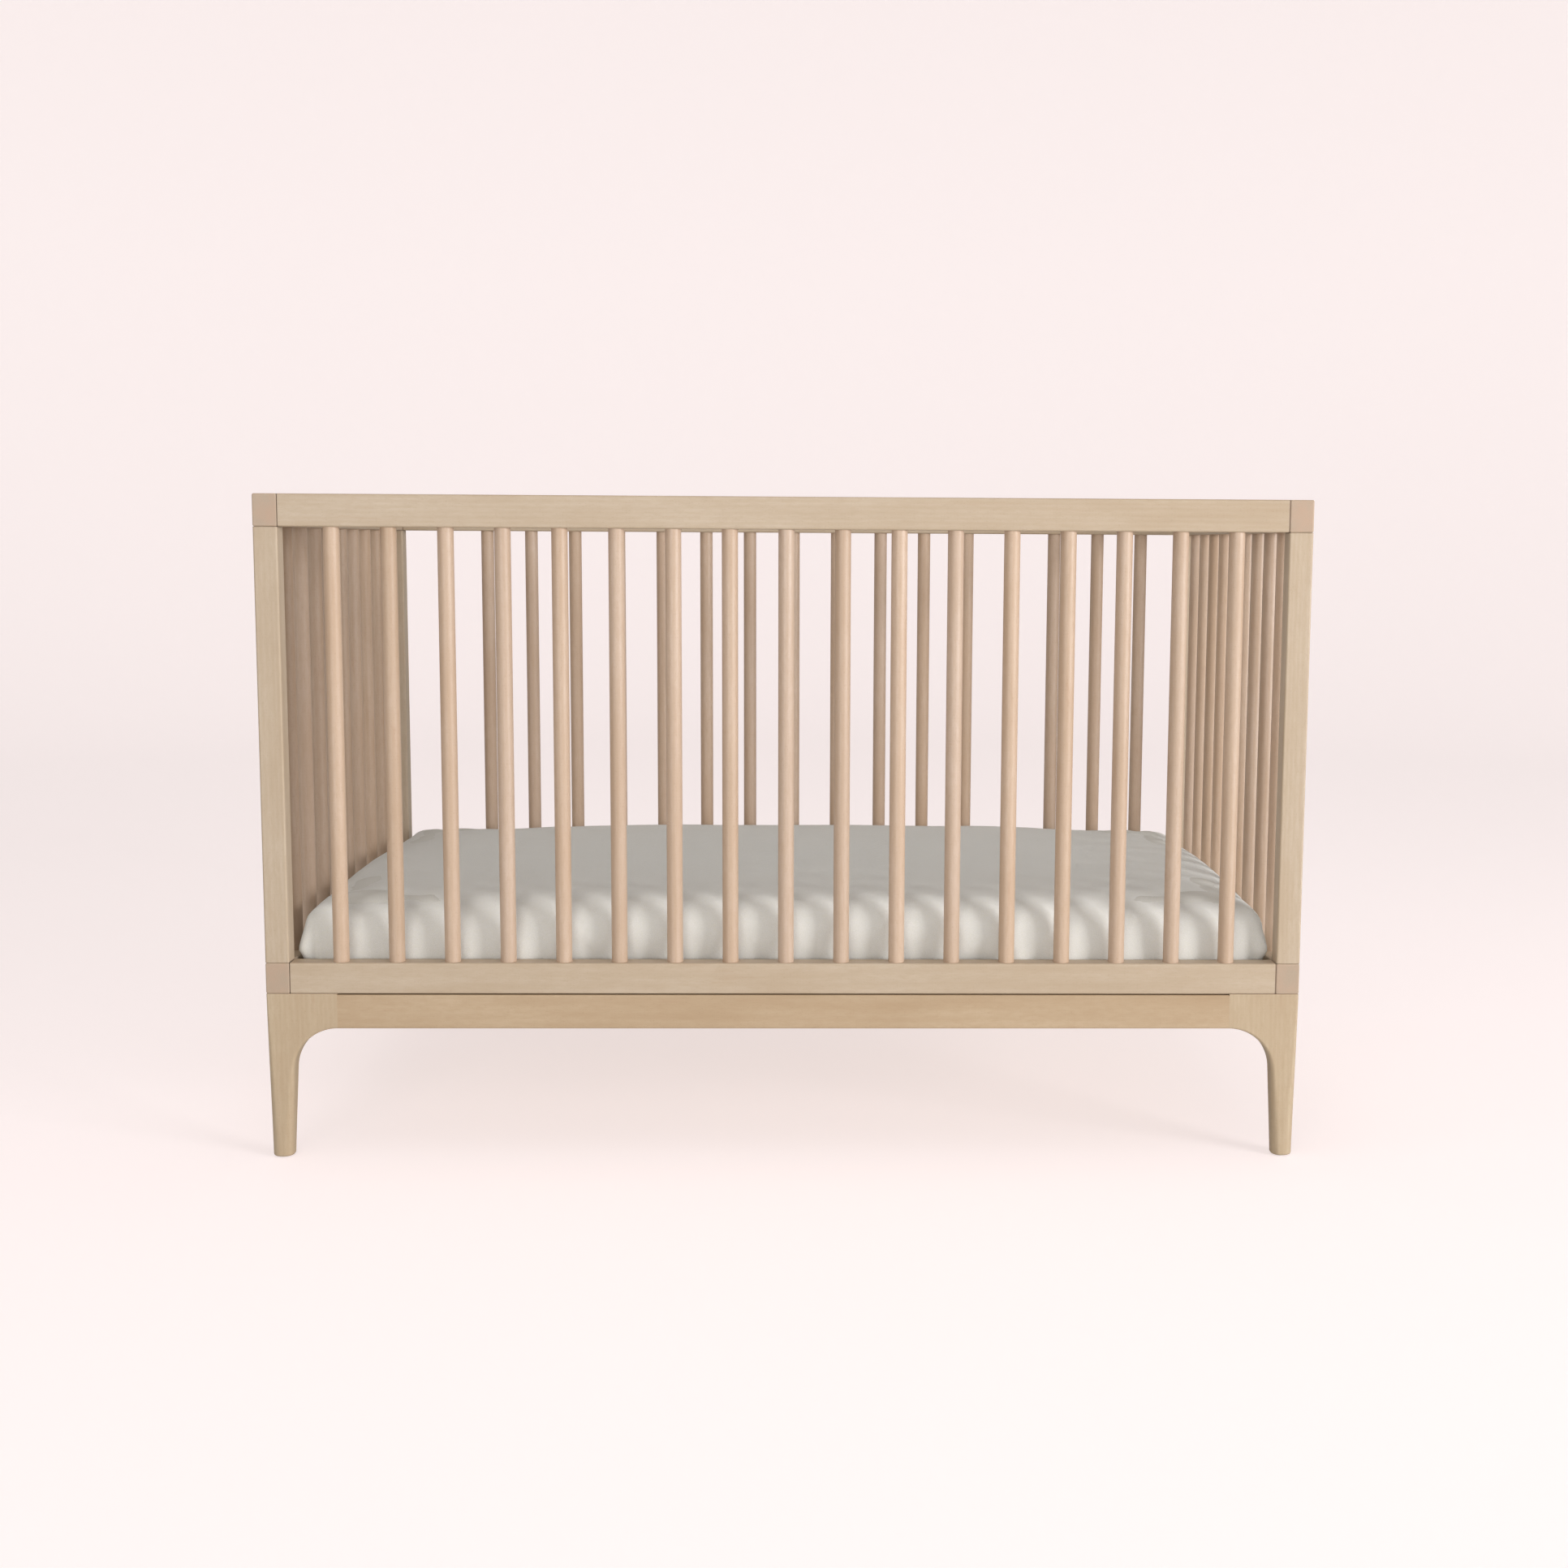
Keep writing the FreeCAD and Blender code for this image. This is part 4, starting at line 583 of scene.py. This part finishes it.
def on_slats(place):
    """True where the sheet is pressed between the mattress and the deck."""
    return place.z < SHEET["low"] + 0.001 and all(
        abs(c) < h - 0.021 for c, h in zip(place, SHEET["half"]))


fitted_cotton = stood("fitted_cotton", cushion_block(**SHEET))
gridded(fitted_cotton, SHEET_GRID)
filled(fitted_cotton, on_slats, spare=0.045, push=1.0, most=SHEET_SWELL)
finer = fitted_cotton.modifiers.new("finer", "SUBSURF")
finer.levels = finer.render_levels = 1
settled(fitted_cotton)
for vert in fitted_cotton.data.vertices:
    place, out = vert.co.copy(), outward(vert.co)
    up = (place.z - SHEET["low"]) / (SHEET["high"] - SHEET["low"])
    if out.length > 0:
        # Drag lines fan up from the hem and die out halfway up the side.
        drag = noise.noise(Vector((place.x * 21 + place.z * 9, place.y * 21, 3.1)))
        fine = noise.noise(Vector((place.x * 58 + place.z * 16, place.y * 58, 7.7)))
        fade = math.exp(-((up - 0.16) / 0.30) ** 2)
        vert.co += out * fade * (DRAG_OUT * max(drag, -0.25) + 0.0012 * fine)
        # The sewn corner stands out as a small pointed ear, with a crease on each side of it.
        ear = abs(out.x * out.y) * 2
        above = up - EAR_LEVEL
        point = max(0.0, 1 - (above / 0.25 if above > 0 else -above / 0.17))
        vert.co += out * EAR_OUT * point * max(0.0, (ear - 0.35) / 0.65) ** 1.6
        crease = math.exp(-((ear - 0.42) / 0.2) ** 2) * max(0.0, 1 - abs(up - 0.33) / 0.42)
        vert.co -= out * CREASE_IN * crease
    if place.z > SHEET["high"] - 0.03:
        # Shallow lengthwise ripples lie on top, more of them toward the front and back.
        ripple = noise.noise(Vector((place.x * 4.5, place.y * 24 + place.x * 3, 1.7)))
        cross = noise.noise(Vector((place.x * 13 - place.y * 6, place.y * 17, 5.2)))
        near = min(1.0, abs(place.y) / 0.3) ** 2
        vert.co.z += 0.0011 * ripple * (0.45 + near) + 0.0008 * cross * near
    crown = max(0.0, 1 - (place.x / 0.62) ** 2) * max(0.0, 1 - (place.y / 0.31) ** 2)
    if place.z > SHEET["high"] - 0.01:
        vert.co.z += CROWN_RISE * crown
    vert.co.z = max(vert.co.z, REST_LEVEL)
    # It clears the deck brackets' screws low down, and the panels and posts higher up.
    reach_x, reach_y = CLEAR_OF_PANELS
    if place.z < SCREWS_TOP:
        reach_x = CLEAR_OF_SCREWS
    vert.co.x = max(-reach_x, min(reach_x, vert.co.x))
    vert.co.y = max(-reach_y, min(reach_y, vert.co.y))


def inside_turn(place, spare=0.0):
    """True under the mattress, further in than the sheet's turned edge reaches."""
    reach = [h - TURN_IN + spare for h in SHEET["half"]]
    round_in = 0.05
    past = Vector([max(abs(c) - (r - round_in), 0.0) for c, r in zip(place.xy, reach)])
    return place.z < REST_LEVEL + 0.004 and past.length < round_in


cut = bmesh.new()
cut.from_mesh(fitted_cotton.data)
bmesh.ops.delete(cut, geom=[face for face in cut.faces
                            if inside_turn(face.calc_center_median())], context="FACES")
cut.to_mesh(fitted_cotton.data)
cut.free()
cotton = cloth_finish("cotton_sheeting", COTTON, 0.0009, 0.92, 0.5, 0.18)
fitted_cotton.data.materials.clear()
fitted_cotton.data.materials.append(cotton)
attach(fitted_cotton, "bedding")
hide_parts("fitted_sheet")


# The hem is the same cotton folded over a flat elastic, a double band round the opening
# under the mattress.
band = bmesh.new()
band.from_mesh(fitted_cotton.data)
bmesh.ops.delete(band, geom=[face for face in band.faces
                             if not inside_turn(face.calc_center_median(), HEM_WIDE)],
                 context="FACES")
for vert in band.verts:
    vert.co.z = REST_LEVEL - 0.0001
bmesh.ops.recalc_face_normals(band, faces=band.faces)
if sum(face.normal.z for face in band.faces) > 0:
    bmesh.ops.reverse_faces(band, faces=band.faces)
bmesh.ops.solidify(band, geom=band.faces, thickness=-HEM_THICK)
bmesh.ops.recalc_face_normals(band, faces=band.faces)
sheet_hem = stood("sheet_hem", band)
sheet_hem.data.materials.append(cotton)
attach(sheet_hem, "bedding")
